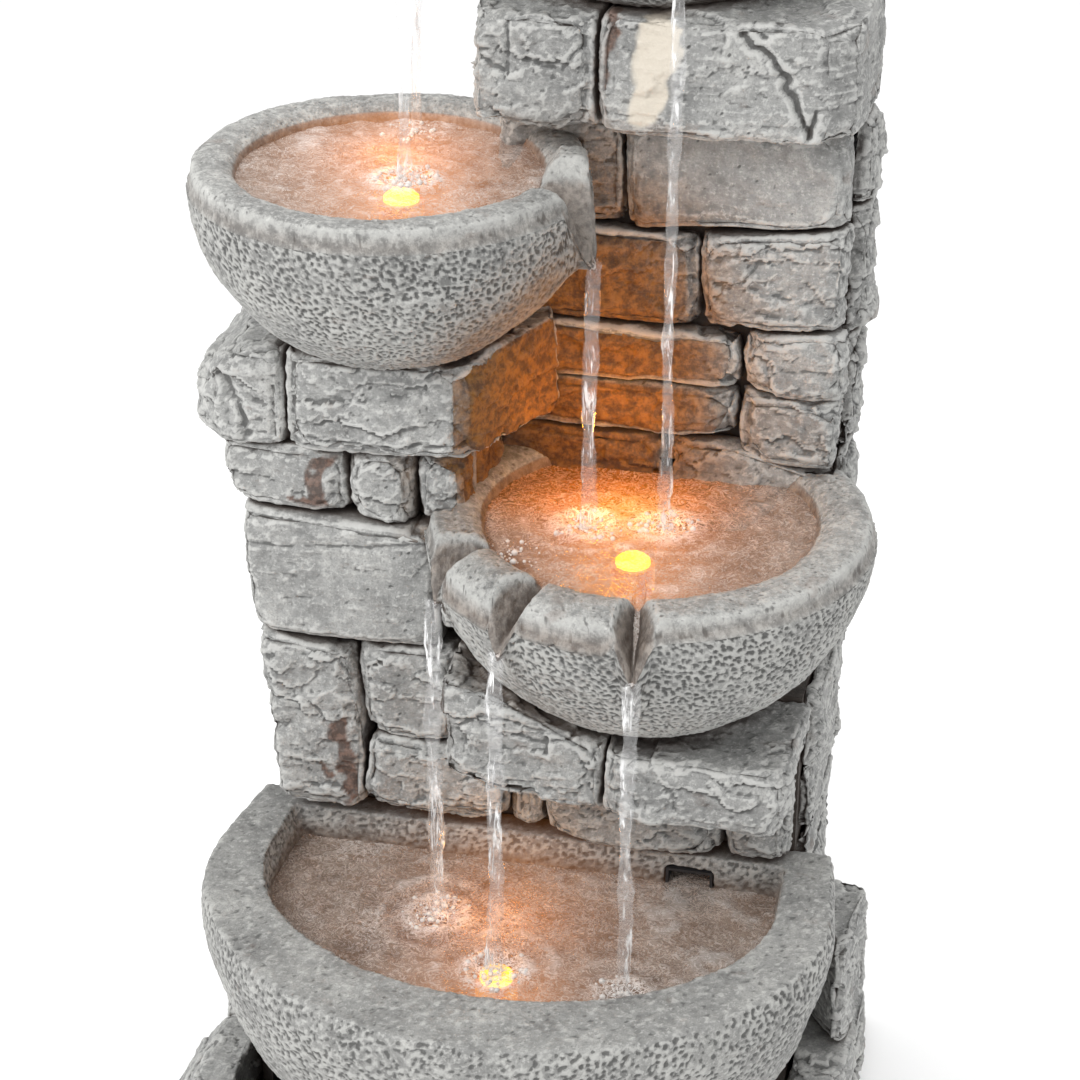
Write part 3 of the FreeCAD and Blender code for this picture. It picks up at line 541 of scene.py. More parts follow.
def weather(mesh, planes, salt, style, own):
    """Turns a plain block into a split stone: warped, stepped, chipped, pitted. In mm."""
    p, n, edges = get_points(mesh), get_normals(mesh), get_edges(mesh)
    shift = p + np.float32(salt * 37.7)
    rough = style["rough"]
    hidden = blurred(covered(p, n, own), edges, 3)
    open_ = 1 - 0.78 * hidden
    sides = np.stack([d - p @ m.astype(np.float32) for m, d in planes], 1)
    sides = np.sort(np.maximum(sides, 0), 1)
    edge, corner = sides[:, 1], sides[:, 2]
    warp = fractal(shift, 80, 2, salt) * 2.4
    angle = float(hashed(*(np.array([salt + k]) for k in (1, 2, 3)), 5)[0]) * 2 * math.pi
    slope = shift @ np.array([0.09 * math.cos(angle), 0.05, 0.13 * math.sin(angle) + 0.05], np.float32)
    wander = np.stack([
        noise(shift, 15, salt + 70 + k) * 4.0 + noise(shift, 5, salt + 76 + k) * 1.6 for k in range(3)], 1)
    sheets = fractal(shift + wander, (60, 60, 30), 4, salt + 9, 0.55) * 3.2 * rough
    stepped = terrace(sheets + slope, 4.4, 0.3)
    flats = facets(shift + wander, (44, 44, 17), salt + 90, 1.7, 5.0)
    flats = 0.75 * flats + 0.4 * facets(shift + wander, (19, 19, 11), salt + 97, 1.5, 4.5)
    plates = (0.30 * (stepped - slope) + 0.35 * sheets + flats * rough) * style["plates"]
    lumps = fractal(shift, 18, 4, salt + 17, 0.66) * rough
    near = cells(p, 6.5, salt + 61)
    holes = smooth(0.20, 0.06, near) * smooth(0.0, 0.5, noise(shift, 35, salt + 63))
    grit = fractal(shift, 4.2, 3, salt + 37, 0.75) * 0.44 * rough - holes * 1.6
    lines = fractal(shift, (20, 20, 2.8), 2, salt + 29) * style["lines"]
    reach = 2.6 + 4.2 * np.maximum(fractal(shift, 26, 2, salt + 41), -0.35) + 1.3 * noise(shift, 5, salt + 43)
    reach = np.maximum(reach * (1 - 0.45 * hidden), 0.9)
    chips = np.clip(1 - edge / reach, 0, 1) ** 1.3 * np.minimum(reach, 9) * 0.62
    size = 6 + 9 * np.maximum(noise(shift, 30, salt + 47), -0.2)
    knocks = np.clip(1 - corner / size, 0, 1) * 3.6
    height = (warp + plates + lumps) * open_ + grit + lines - chips - knocks
    height += 0.7 * hidden - 1.4 * (1 - hidden)
    jitter = np.stack([noise(p, 7, k) for k in (3, 4, 5)], 1) * 2.0
    front = open_ * smooth(172, 150, p[:, 1])
    for line, width, depth in style["cracks"]:
        wide = width * (1 + 0.5 * noise(p, 11, 8))
        height -= crack(p + jitter, line, wide, depth) * front
    height = np.clip(height, DEEPEST, PROUDEST)
    fine = height - blurred(height, edges, 4)
    relief = fine * 2.2 + (height - blurred(height, edges, 16)) * 0.45
    rim = np.clip(1 - edge / (3.2 + 1.8 * noise(shift, 12, salt + 51)), 0, 1)
    set_points(mesh, p + n * height[:, None])
    store(mesh, "relief", relief)
    store(mesh, "edge", rim)
    for mark in ("patch", "rust"):
        amount = np.zeros(len(p), np.float32)
        for line, width in style[mark]:
            amount = np.maximum(amount, crack(p + jitter * 2.2, line, width, 1.0))
        store(mesh, mark, smooth(0.18, 0.42, amount) * front)
    # Painted amber light and shade from the sunk lights.
    store(mesh, "amber_light_and_shade", painted_amber_light_and_shade(p, n))


def painted_amber_light_and_shade(p, n):
    """Painted amber light and shade: how strongly what faces the light in the hollow over the right bowl is
    tinted amber and darkened, 0 to 1.
    """
    to_light = np.array([22, 30, 560], np.float32) - p
    far = np.linalg.norm(to_light * np.array([1.25, 1, 0.72], np.float32), axis=1)
    facing = (n * to_light).sum(1) / np.maximum(np.linalg.norm(to_light, axis=1), 1)
    return np.clip(facing * 1.8 + 0.15, 0, 1) * smooth(170, 92, far)


def dress(piece, finish, node):
    """Gives a visible piece its finish and puts it in the place of the CAD node."""
    shade_smooth(piece.data)
    piece.data.materials.clear()
    piece.data.materials.append(finish)
    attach(piece, "root")
    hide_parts(node)


def build_stones(node, style, salt):
    meshes = []
    for index, points in enumerate(SOLIDS[node]):
        hull, planes = hull_of(points)
        block = remeshed(hull, STONE_VOXEL, "block")
        weather(block, planes, salt + index * 3 + 1, style, STONE_KEYS.index((node, index)))
        meshes.append(block)
    dress(join("stone_" + node, meshes), split, node)


STONES = [
    "tall_corner_stone", "pier_block_middle", "pier_block_low", "pier_block_big", "pier_block_small",
    "pier_course_left", "pier_course_middle", "pier_course_right", "pond_wall_stones",
    *(f"column_stone_{course}_{side}" for course in "bcde" for side in ("left", "right")),
    "bowl_back_stones", "left_ledge_outer", "left_ledge_inner", "right_ledge_left", "right_ledge_right",
    "top_slab_left", "top_slab_right", "right_side_stones", "left_side_stones", "nook_side_stones",
    "base_stones_left", "base_stones_right", "base_stones_front"]
# How strongly a stone is worn, and its marks: lines of (x, z) points with a width, and a depth for cracks.
PLAIN_STONE = dict(rough=1.0, plates=1.0, lines=0.28, cracks=(), patch=(), rust=())
STYLES = {
    "column_stone_b_right": dict(plates=0.25, rough=0.55, lines=0.2),
    "column_stone_c_right": dict(cracks=[([(129, 660), (114, 642), (150, 635)], 2.6, 1.6)]),
    "pier_block_big": dict(plates=0.45, rough=0.75, cracks=[
        ([(-200, 466), (-159, 468), (-117, 472), (-66, 480)], 3.0, 1.6)]),
    "tall_corner_stone": dict(
        rust=[([(-137, 330), (-133, 304), (-130, 275)], 9), ([(-150, 300), (-146, 288)], 5)],
        cracks=[([(-189, 392), (-162, 395), (-137, 385), (-127, 370)], 3.2, 2.4),
                ([(-156, 350), (-148, 335)], 2.4, 2.2)]),
    "pier_course_left": dict(plates=0.7, rust=[
        ([(-136, 540), (-150, 520), (-146, 501)], 8), ([(-162, 503), (-138, 493)], 4)]),
    "left_ledge_outer": dict(cracks=[([(-213, 592), (-201, 572), (-192, 551)], 4.0, 4.5)]),
    "left_ledge_inner": dict(cracks=[([(-161, 551), (-100, 550), (-39, 554)], 2.4, 2.4)]),
    "top_slab_left": dict(cracks=[
        ([(-30, 824), (-31, 788), (-47, 797)], 2.4, 2.4), ([(-18, 799), (5, 794), (24, 815)], 2.4, 2.0)]),
    "right_ledge_left": dict(cracks=[
        ([(-8, 374), (19, 370), (57, 384)], 2.4, 2.4), ([(-39, 374), (-22, 388), (19, 378)], 2.6, 2.4)]),
    "top_slab_right": dict(
        lines=0.55, plates=0.7, rough=0.8,
        patch=[([(66, 826), (62, 804), (65, 784), (58, 772)], 15), ([(74, 822), (73, 800)], 9)],
        rust=[([(34, 827), (30, 802), (26, 779), (25, 756)], 9)],
        cracks=[([(118, 825), (130, 817), (139, 810), (150, 789), (162, 761)], 3.6, 5.5),
                ([(162, 761), (167, 776)], 2.6, 4.0), ([(118, 825), (126, 829), (134, 823)], 2.2, 3.0)])}
SOLIDS = {node: solids_of(node) for node in STONES}
STONE_KEYS = [(node, index) for node in STONES for index in range(len(SOLIDS[node]))]
STONE_BOXES = []
for node, index in STONE_KEYS:
    corners = np.array(SOLIDS[node][index]) / MM
    STONE_BOXES.append((corners.min(0), corners.max(0)))
for number, node in enumerate(STONES):
    build_stones(node, PLAIN_STONE | STYLES.get(node, {}), number * 11)

# --- bowls ---
# What a point of a bowl belongs to.
HOLLOW, RIM, OUTSIDE, FOOT = range(4)


def circle(count):
    return np.linspace(0, 2 * np.pi, count, endpoint=False)


def hollow_ball(b):
    """Radius of the ball that a bowl's hollow is cut with."""
    drop = b["rim"] + 2 - b["floor"]
    return (b["ri"] ** 2 + drop ** 2) / (2 * drop)


def lateral(b, x, y, angle):
    """(distance along, distance across) a line that leaves the bowl's centre at angle."""
    dx, dy = x - b["x"], y - b["y"]
    c, s = math.cos(math.radians(angle)), math.sin(math.radians(angle))
    return dx * c + dy * s, -dx * s + dy * c


def groove_floor(b, spout, along):
    """Height of the bottom of a pouring lip's groove, at distances along from the bowl's centre."""
    inlet, tip = b["ri"] - 16, b["r"] + spout["reach"]
    t = np.clip((along - inlet) / (tip - inlet), 0, 1.15)
    drop = 13 + (spout["drop"] - 15) * t ** spout.get("curl", 1.25)
    return b["rim"] - drop


def soft_minimum(a, b, blend):
    """The smaller of a and b, rounded off where they cross."""
    h = np.clip(0.5 + 0.5 * (b - a) / blend, 0, 1)
    return b + (a - b) * h - blend * h * (1 - h)


def bowl_points(b, spouts, columns, rows):
    """Rows of points round the bowl, from the middle of its hollow over the rim to its underside.

    Returns the points, what each one belongs to, the number of rows, and how far each point lies in
    a pouring lip's groove.
    """
    # The plain bowl: hollow and outside are parts of balls, and the rim runs from one to the other.
    inner, top, outer = rows
    theta = circle(columns)
    ball_in = hollow_ball(b)
    band = b["rim"] - 16
    centre = (b["r"] ** 2 - b["foot"] ** 2 + band ** 2 - b["base"] ** 2) / (2 * (band - b["base"]))
    ball_out = math.hypot(b["r"], band - centre)
    reach_in = math.acos(1 - (b["rim"] - 7 - b["floor"]) / ball_in)
    a = np.linspace(0.05, reach_in, inner)
    rho_in, z_in = ball_in * np.sin(a), b["floor"] + ball_in * (1 - np.cos(a))
    s = np.linspace(0, 1, top + 2)[1:-1]
    rho_top = rho_in[-1] + (b["r"] - rho_in[-1]) * s
    z_top = b["rim"] - 7 * np.exp(-s * 7) - 16 * np.exp(-(1 - s) * 13)
    a = np.linspace(math.atan2(b["r"], centre - band), math.atan2(b["foot"], centre - b["base"]), outer)
    z_out = centre - ball_out * np.cos(a)
    rho = np.concatenate([rho_in, rho_top, ball_out * np.sin(a), np.linspace(b["foot"] * 0.9, 8, 4)])
    z = np.concatenate([z_in, z_top, z_out, np.full(4, float(b["base"]))])
    kind = np.repeat([HOLLOW, RIM, OUTSIDE, FOOT], (inner, top, outer, 4))
    rho = np.repeat(rho[:, None], columns, 1)
    z = np.repeat(z[:, None], columns, 1)
    share = np.zeros(len(kind))
    share[kind == RIM] = s
    share[kind == OUTSIDE] = 1
    # Between some of the lips the rim rolls over to the outside.
    degrees = np.degrees(theta)
    roll = np.zeros(columns)
    for low, high, amount in b.get("rolls", ()):
        middle, half = (low + high) / 2, (high - low) / 2
        away = np.abs((degrees - middle + 180) % 360 - 180)
        roll = np.maximum(roll, amount * (1 - smooth(half * 0.8, half * 1.15, away)))
    on_rim = kind[:, None] == RIM
    z -= on_rim * roll * 15 * np.clip((share[:, None] - 0.30) / 0.70, 0, 1) ** 2
    plain = z.copy()
    bulge = roll * 4.0
    edge_z = np.full(columns, float(band)) - roll * 15
    # Each lip is a V-shaped groove in the rim over a beak that stands out from the bowl.
    for spout in spouts:
        turn = np.radians(((degrees - spout["angle"] + 180) % 360) - 180)
        front = np.cos(turn) > 0.5
        tip = b["r"] + spout["reach"]
        half = spout["width"] / 2
        across = np.sin(turn) * b["r"]
        beak = np.where(front, np.exp(-np.abs(across / (half * 0.95)) ** 2.5), 0) * (spout["reach"] + 5)
        bulge = np.maximum(bulge, beak)
        for row in np.nonzero(kind <= RIM)[0]:
            off = np.abs(np.sin(turn) * rho[row])
            wall = np.maximum(off - spout.get("flat", 0), 0)
            floor_z = groove_floor(b, spout, rho[row] * np.cos(turn)) + wall * spout["slope"]
            cut = front & (rho[row] > b["ri"] - 34)
            z[row] = np.where(cut, soft_minimum(z[row], floor_z, 5.0), z[row])
        wall = np.maximum(np.abs(across) - spout.get("flat", 0), 0)
        lip = groove_floor(b, spout, np.full(columns, float(tip))) + wall * spout["slope"] - 3
        edge_z = np.where(front, np.minimum(edge_z, lip), edge_z)
        if "block" in spout:
            low, high, rise = spout["block"]
            lift = rise * smooth(low - 4, low + 3, across) * (1 - smooth(high - 3, high + 4, across)) * front
            ends = np.clip(share[:, None] * 3.0, 0, 1) * np.clip((1.05 - share[:, None]) * 6, 0, 1)
            z += on_rim * lift * ends
    stretch = np.clip(share, 0, 1)[:, None] * bulge
    rho = np.where(on_rim, rho + stretch, rho)
    # The outside starts from the lowered edge, so that it meets the lips.
    outside = kind == OUTSIDE
    zo = b["base"] + (z[outside] - b["base"]) * (edge_z - b["base"]) / (band - b["base"])
    ro = np.sqrt(np.maximum(ball_out ** 2 - (centre - zo) ** 2, b["foot"] ** 2))
    ro += bulge * np.exp(-np.abs(edge_z - zo) / 15)
    z[outside], rho[outside] = zo, ro
    last = np.nonzero(on_rim[:, 0])[0][-3:]
    for k, row in enumerate(last):
        z[row] = np.minimum(z[row], np.maximum(edge_z + (2 - k) * 2.5, z[row] - 12))
    x = b["x"] + rho * np.cos(theta)
    y = b["y"] + rho * np.sin(theta)
    points = np.stack([x, y, z], -1).reshape(-1, 3).astype(np.float32)
    channel = smooth(3, 9, plain - z) * (kind[:, None] <= RIM) * (rho < b["r"] + 20)
    return points, np.repeat(kind, columns), len(kind), channel.ravel()


def kept_clear(points, limits):
    """Points held back from the tower. A limit is the axis (0 or 1) and how far points may go along it,
    for the points with x between the next two numbers and y above the last one."""
    p = points.copy()
    for axis, bound, low_x, high_x, low_y in limits:
        inside = (p[:, 0] > low_x) & (p[:, 0] < high_x) & (p[:, 1] > low_y)
        if axis == 0:
            p[:, 0] = np.where(inside, np.maximum(p[:, 0], bound), p[:, 0])
        else:
            p[:, 1] = np.where(inside, np.minimum(p[:, 1], bound), p[:, 1])
    return p


def cast_surface(mesh, salt, pit_size, pit_depth, kinds=None, level=None, channel=None):
    """Hand-worked casting: soft lumps, hammered pits, fine stipple, and what its material reads."""
    p, n, edges = get_points(mesh), get_normals(mesh), get_edges(mesh)
    lumps = fractal(p, 26, 3, salt) * 0.9
    stipple = fractal(p, 4.5, 3, salt + 7, 0.65) * 0.42
    warped = p + np.stack([noise(p, 7, salt + 60 + k) for k in range(3)], 1) * 1.3
    near = cells(warped, pit_size, salt + 11)
    patch = smooth(-0.45, 0.25, fractal(p, 30, 2, salt + 19))
    pits = smooth(0.66, 0.16, near) * (0.62 + 0.38 * patch)
    pits *= 1 - 0.8 * smooth(0.55, 0.9, n[:, 2]) if kinds is None else np.where(kinds >= OUTSIDE, 1.0, 0.22)
    height = lumps + stipple - pits * pit_depth
    relief = (height - blurred(height, edges, 8)) * 4.2
    # How far a point stands above its smoothed height: these tops are made paler, painted highlight.
    curve = blurred(p[:, 2].astype(np.float32), edges, 12)
    rim = np.clip((p[:, 2] - curve) / 0.8, 0, 1)
    set_points(mesh, p + n * height[:, None])
    store(mesh, "relief", relief)
    # Painted light: how brightly the sunk lights glow on the casting round them.
    glow = np.zeros(len(p))
    for x, y, z in LIGHTS.values():
        away = np.linalg.norm(p - np.array([x, y, z + 14], np.float32), axis=1)
        glow = np.maximum(glow, np.exp(-away / 24) * 1.4)
    glow = np.clip(glow, 0, 1)
    if kinds is None:
        edge, damp, amber_light_and_shade = rim * 0.45, np.zeros(len(p)), 0.7
    else:
        # A bowl's rim is paler all over, its tops paler still: painted highlight.
        edge = rim * np.where(kinds == RIM, 0.5, 0.35) + (kinds == RIM) * 0.55
        damp = np.maximum((kinds == HOLLOW) * smooth(level + 12, level - 1, p[:, 2]), channel * 0.75)
        glow = glow * (kinds == HOLLOW)
        amber_light_and_shade = np.where(kinds == RIM, 0.12, 0.6)
    store(mesh, "edge", edge)
    store(mesh, "damp", damp)
    store(mesh, "glow", glow)
    # Painted amber light and shade, weaker on a bowl's rim.
    store(mesh, "amber_light_and_shade", painted_amber_light_and_shade(p, n) * amber_light_and_shade)


def build_bowl(name, b, spouts, limits, salt, pit_size, pit_depth, columns=640, rows=(70, 34, 110)):
    """A bowl as one closed piece; rows is how many it has in its hollow, over its rim and outside."""
    points, kinds, count, channel = bowl_points(b, spouts, columns, rows)
    mesh = quad_mesh("bowl_" + name, points, grid_faces(count, columns, True))
    bm = bmesh.new()
    bm.from_mesh(mesh)
    bm.verts.ensure_lookup_table()
    total = len(bm.verts)
    for ring in (range(columns), range(total - columns, total)):
        bm.faces.new([bm.verts[i] for i in ring])
    bmesh.ops.recalc_face_normals(bm, faces=bm.faces)
    bm.to_mesh(mesh)
    bm.free()
    cast_surface(mesh, salt, pit_size, pit_depth, kinds, b["level"], channel)
    moved = kept_clear(get_points(mesh), limits)
    if "back_wall" in b:
        share = np.clip((np.repeat(np.arange(count), columns) - rows[0] + 1) / (rows[1] + 1), 0, 1)
        moved[:, 1] = np.minimum(moved[:, 1], BACK_Y - 0.4 - b["back_wall"] * (1 - share))
    set_points(mesh, moved)
    dress(new_object("bowl_" + name, mesh), cast, name + "_bowl")


RIGHT["rolls"] = [(-142, -120, 1.0), (-113, -88, 0.7)]
RIGHT_SPOUTS = [
    dict(angle=-146, reach=-2, drop=44, width=30, slope=2.3),
    dict(angle=-117, reach=2, drop=46, width=34, slope=2.1),
    dict(angle=-83, reach=2, drop=46, width=38, slope=2.5)]
LEFT_SPOUTS = [dict(angle=-8, reach=6, drop=56, width=40, slope=2.4, flat=7, curl=1.9, block=(14, 46, 8))]
TOP_SPOUTS = [
    dict(angle=-146, reach=36, drop=46, width=30, slope=3),
    dict(angle=-169, reach=15, drop=44, width=30, slope=3),
    dict(angle=-74, reach=-4, drop=46, width=34, slope=3)]
RIGHT_LIMITS = [(1, 109, -56, 184, 100), (0, -54, -300, -41, 0)]
LEFT_LIMITS = [(1, 119, -48, 184, 97)]
TOP_LIMITS = [(1, BACK_Y - 0.4, -400, 400, 100)]
TOP["back_wall"] = 24
build_bowl("right", RIGHT, RIGHT_SPOUTS, RIGHT_LIMITS, 3, 3.8, 1.9, columns=720)
build_bowl("left", LEFT, LEFT_SPOUTS, LEFT_LIMITS, 5, 3.6, 1.8, rows=(66, 34, 110))
build_bowl("top", TOP, TOP_SPOUTS, TOP_LIMITS, 7, 4.2, 1.0, columns=520, rows=(50, 26, 84))

# The basin keeps the shape of its CAD casting, pond, port and light pocket included.
basin_bm = welded("lower_basin")
basin_start = bpy.data.meshes.new("basin_start")
basin_bm.to_mesh(basin_start)
basin_bm.free()
basin_mesh = remeshed(basin_start, BASIN_VOXEL, "basin_casting")
cast_surface(basin_mesh, 9, 4.2, 1.4)
p = get_points(basin_mesh)
front_half = (p[:, 0] / 176) ** 2 + ((p[:, 1] + 40) / 136) ** 2 < 1.0
in_pond = front_half | ((np.abs(p[:, 0]) < 176) & (p[:, 1] > -40))
store(basin_mesh, "damp", smooth(BASIN_LEVEL + 18, BASIN_LEVEL - 4, p[:, 2]) * in_pond)
dress(new_object("basin_casting", basin_mesh), cast, "lower_basin")


# --- water ---
def water_material(name, tint, deep, clear):
    """Thin tinted water, whiter and less clear where it foams and where glints are painted, with painted
    light on its waves and round the sunk lights.
    """
    n = Nodes(name)
    foam_and_glints = n.attribute("foam_and_glints")
    curls = n.noise(9, 5, 0.6, None, 2.2)
    net = n.cells(5.5, "DISTANCE_TO_EDGE")
    veins = n.minus(1.0, n.span(net, 0.0, 0.09))
    threads = n.span(n.math("ABSOLUTE", n.minus(curls, 0.5)), 0.042, 0.006)
    # White: foam, and painted glints on the ripples.
    whitewater_and_glints = n.times(foam_and_glints, n.math("MAXIMUM", veins, n.span(curls, 0.50, 0.66)), clamp=True)
    thread = n.times(threads, n.plus(n.times(foam_and_glints, 0.6), 0.34))
    whitewater_and_glints = n.math("MAXIMUM", whitewater_and_glints, thread, clamp=True)
    painted_wave_light = n.attribute("painted_wave_light")
    colour = n.mix(n.span(n.noise(28, 3, 0.6), 0.35, 0.65), tint, deep)
    # Painted light on the waves: paler on the crests, darker in the troughs.
    colour = n.mix(n.times(n.span(painted_wave_light, 0.55, 0.95), 0.75), colour, (0.86, 0.80, 0.75))
    colour = n.mix(n.times(n.span(painted_wave_light, 0.45, 0.10), 0.70), colour, tuple(c * 0.5 for c in deep))
    colour = n.mix(n.times(n.attribute("amber"), 0.9), colour, (0.42, 0.150, 0.010))
    colour = n.mix(whitewater_and_glints, colour, (0.86, 0.84, 0.82))
    body = n.plus(clear, n.times(n.attribute("amber"), 0.22))
    alpha = n.plus(body, n.times(whitewater_and_glints, 0.62), clamp=True)
    small = n.noise(5, 4, 0.6, None, 1.2)
    # Painted light: the glow of the sunk light in the water over it, as emission.
    lit = n.times(n.attribute("glow"), n.plus(0.55, n.times(curls, 0.9)))
    painted_glow_colour = n.mix(n.span(n.attribute("glow"), 0.15, 0.85), (1.0, 0.20, 0.015), (1.0, 0.50, 0.06))
    n.shade(Emission_Color=n.mix(lit, (0, 0, 0), painted_glow_colour), Emission_Strength=1.1)
    return n.shade(Base_Color=colour, Alpha=alpha, Roughness=0.07, IOR=1.33, Specular_IOR_Level=0.7,
                   Normal=n.bump(small, 1.1, 0.7))


pond_water = water_material("pond_water_finish", (0.58, 0.46, 0.38), (0.42, 0.30, 0.23), 0.40)


def ripples(p, landings, salt):
    """(height, foam and painted glints) of a pond surface at points p, from the places where streams land."""
    height = fractal(p, 34, 3, salt) * 1.1 + fractal(p, 10, 3, salt + 3, 0.6) * 0.75
    foam_and_glints = smooth(0.15, 1.1, fractal(p, 42, 3, salt + 9)) * 0.35
    for x, y, power in landings:
        d = np.hypot(p[:, 0] - x, p[:, 1] - y) + noise(p, 8, salt + 13) * 2.0
        height += power * 2.6 * np.cos(d / 3.3) * np.exp(-d / 26) - power * 2.2 * np.exp(-(d / 8) ** 2)
        # Ring glints: whitish rings on the ripples, painted highlight kept with the foam.
        ring_glints = smooth(0.45, 0.95, np.cos(d / 3.3)) * np.exp(-d / 34) * smooth(4, 12, d)
        foam_and_glints = np.maximum(foam_and_glints, power * np.maximum(np.exp(-(d / 24) ** 2) * 1.15, ring_glints * 0.8))
    return height, np.clip(foam_and_glints, 0, 1)


def light_glow(p, key):
    """How much painted glow of a sunk light a pond's surface shows: most just in front of the light, fading
    outwards.
    """
    if key not in LIGHTS:
        return np.zeros(len(p))
    x, y, _ = LIGHTS[key]
    d = np.hypot(p[:, 0] - x, p[:, 1] - y + 18) + noise(p, 12, 77) * 3
    power = {"left": 0.45, "right": 1.0, "basin": 0.35}[key]
    return power * 0.62 * np.exp(-(d / 52) ** 2)


def amber_share(p, key):
    """How much of the pond lies in the light that the stones round the right bowl throw back."""
    if key != "right":
        return np.zeros(len(p))
    back = smooth(2, 62, p[:, 1] - 0.20 * (p[:, 0] - 40) + noise(p, 22, 78) * 9)
    return back * smooth(160, 95, p[:, 0] + noise(p, 15, 79) * 8)


def pond_piece(name, p, faces, height, foam_and_glints):
    """A pond's surface as a piece, with what its material reads from each vertex."""
    mesh = quad_mesh("water_" + name, p, faces)
    store(mesh, "foam_and_glints", foam_and_glints)
    # Painted wave light: crests paler, troughs darker.
    store(mesh, "painted_wave_light", 0.5 + height / 3.6)
    store(mesh, "glow", light_glow(p, name))
    store(mesh, "amber", amber_share(p, name))
    mesh.materials.append(pond_water)
    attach(new_object("water_" + name, mesh), "root")


def bowl_water(name, b, spouts, landings, limits, salt):
    """A bowl's pond: round, with a tongue that runs down each pouring lip."""
    columns, rows = 420, 60
    theta = circle(columns)
    ball = hollow_ball(b)
    edge = math.sqrt(ball ** 2 - (ball - (b["level"] - b["floor"])) ** 2) + 2.0
    reach = np.full(columns, edge)
    for spout in spouts:
        turn = (theta - math.radians(spout["angle"]) + np.pi) % (2 * np.pi) - np.pi
        across = np.sin(turn) * b["r"]
        tongue = np.exp(-np.abs(across / (5 + spout.get("flat", 0))) ** 4) * (np.cos(turn) > 0.5)
        reach = np.maximum(reach, edge + (b["r"] + spout["reach"] + 4 - edge) * tongue)
    s = np.linspace(0.02, 1, rows)[:, None]
    rho = s * reach
    x, y = b["x"] + rho * np.cos(theta), b["y"] + rho * np.sin(theta)
    p = np.stack([x, y, np.full_like(x, float(b["level"]))], -1).reshape(-1, 3).astype(np.float32)
    height, foam_and_glints = ripples(p, landings, salt)
    z = b["level"] + height
    for spout in spouts:
        along, across = lateral(b, p[:, 0], p[:, 1], spout["angle"])
        near = (along > b["ri"] - 20) & (np.abs(across) < 26)
        sheet = groove_floor(b, spout, along) + 3.2 + noise(p, 6, salt) * 0.8
        z = np.where(near, np.minimum(z, np.maximum(sheet, b["rim"] - spout["drop"] - 8)), z)
        foam_and_glints = np.where(near & (along > edge), np.maximum(foam_and_glints, 0.5), foam_and_glints)
    p[:, 2] = z
    p = kept_clear(p, limits)
    pond_piece(name, p, grid_faces(rows, columns, True) + [list(range(columns))[::-1]], height, foam_and_glints)


bowl_water("left", LEFT, LEFT_SPOUTS, [(-91, 36, 1.0), (-107, 128, 0.5)], LEFT_LIMITS, 21)
bowl_water("right", RIGHT, RIGHT_SPOUTS, [(83, 34, 1.0), (31, 26, 1.0)], RIGHT_LIMITS, 22)
bowl_water("top", TOP, TOP_SPOUTS, [(40, 150, 0.8)], [(1, BACK_Y - 23.5, -400, 400, 100)], 23)

# The basin's pond: a half oval in front of POND_Y, straight behind it up to POND_REAR.
POND_Y, POND_REAR, POND_HALF_WIDTH, POND_HALF_DEPTH = -40.0, 26, 174.0, 131.0
BASIN_LANDINGS = [(-53, -61, 0.9), (1, -113, 0.9), (91, -125, 0.9)]
gx, gy = np.meshgrid(np.arange(-176, 177, 1.6), np.arange(-180, 30.0, 1.6))
shape = gy.shape
row = np.clip((POND_Y - gy) / POND_HALF_DEPTH, 0, 0.999)
width = POND_HALF_WIDTH * np.sqrt(1 - row ** 2)
gy = np.clip(gy, POND_Y - POND_HALF_DEPTH, POND_REAR)
gx = gx / 176.0 * (width + 1.5)
p = np.stack([gx, gy, np.full(shape, float(BASIN_LEVEL))], -1).reshape(-1, 3).astype(np.float32)
height, foam_and_glints = ripples(p, BASIN_LANDINGS, 24)
p[:, 2] += height
pond_piece("basin", p, grid_faces(shape[0], shape[1], False), height, foam_and_glints)


def stream_material():
    n = Nodes("falling_water_finish")
    streak = n.noise(5, 4, 0.65, n.place((1, 1, 0.10)), 0.8)
    dash = n.noise(16, 3, 0.6, n.place((1, 1, 0.6)))
    # White streaks: aerated water and painted glints.
    whitewater_and_glints = n.times(n.span(streak, 0.50, 0.64), n.span(dash, 0.44, 0.60), clamp=True)
    colour = n.mix(whitewater_and_glints, (0.80, 0.80, 0.80), (1.0, 1.0, 1.0))
    alpha = n.plus(0.10, n.times(whitewater_and_glints, 0.75), clamp=True)
    return n.shade(Base_Color=colour, Alpha=alpha, Roughness=0.05, IOR=1.33, Specular_IOR_Level=1.0,
                   Normal=n.bump(streak, 1.4, 0.8))


falling = stream_material()


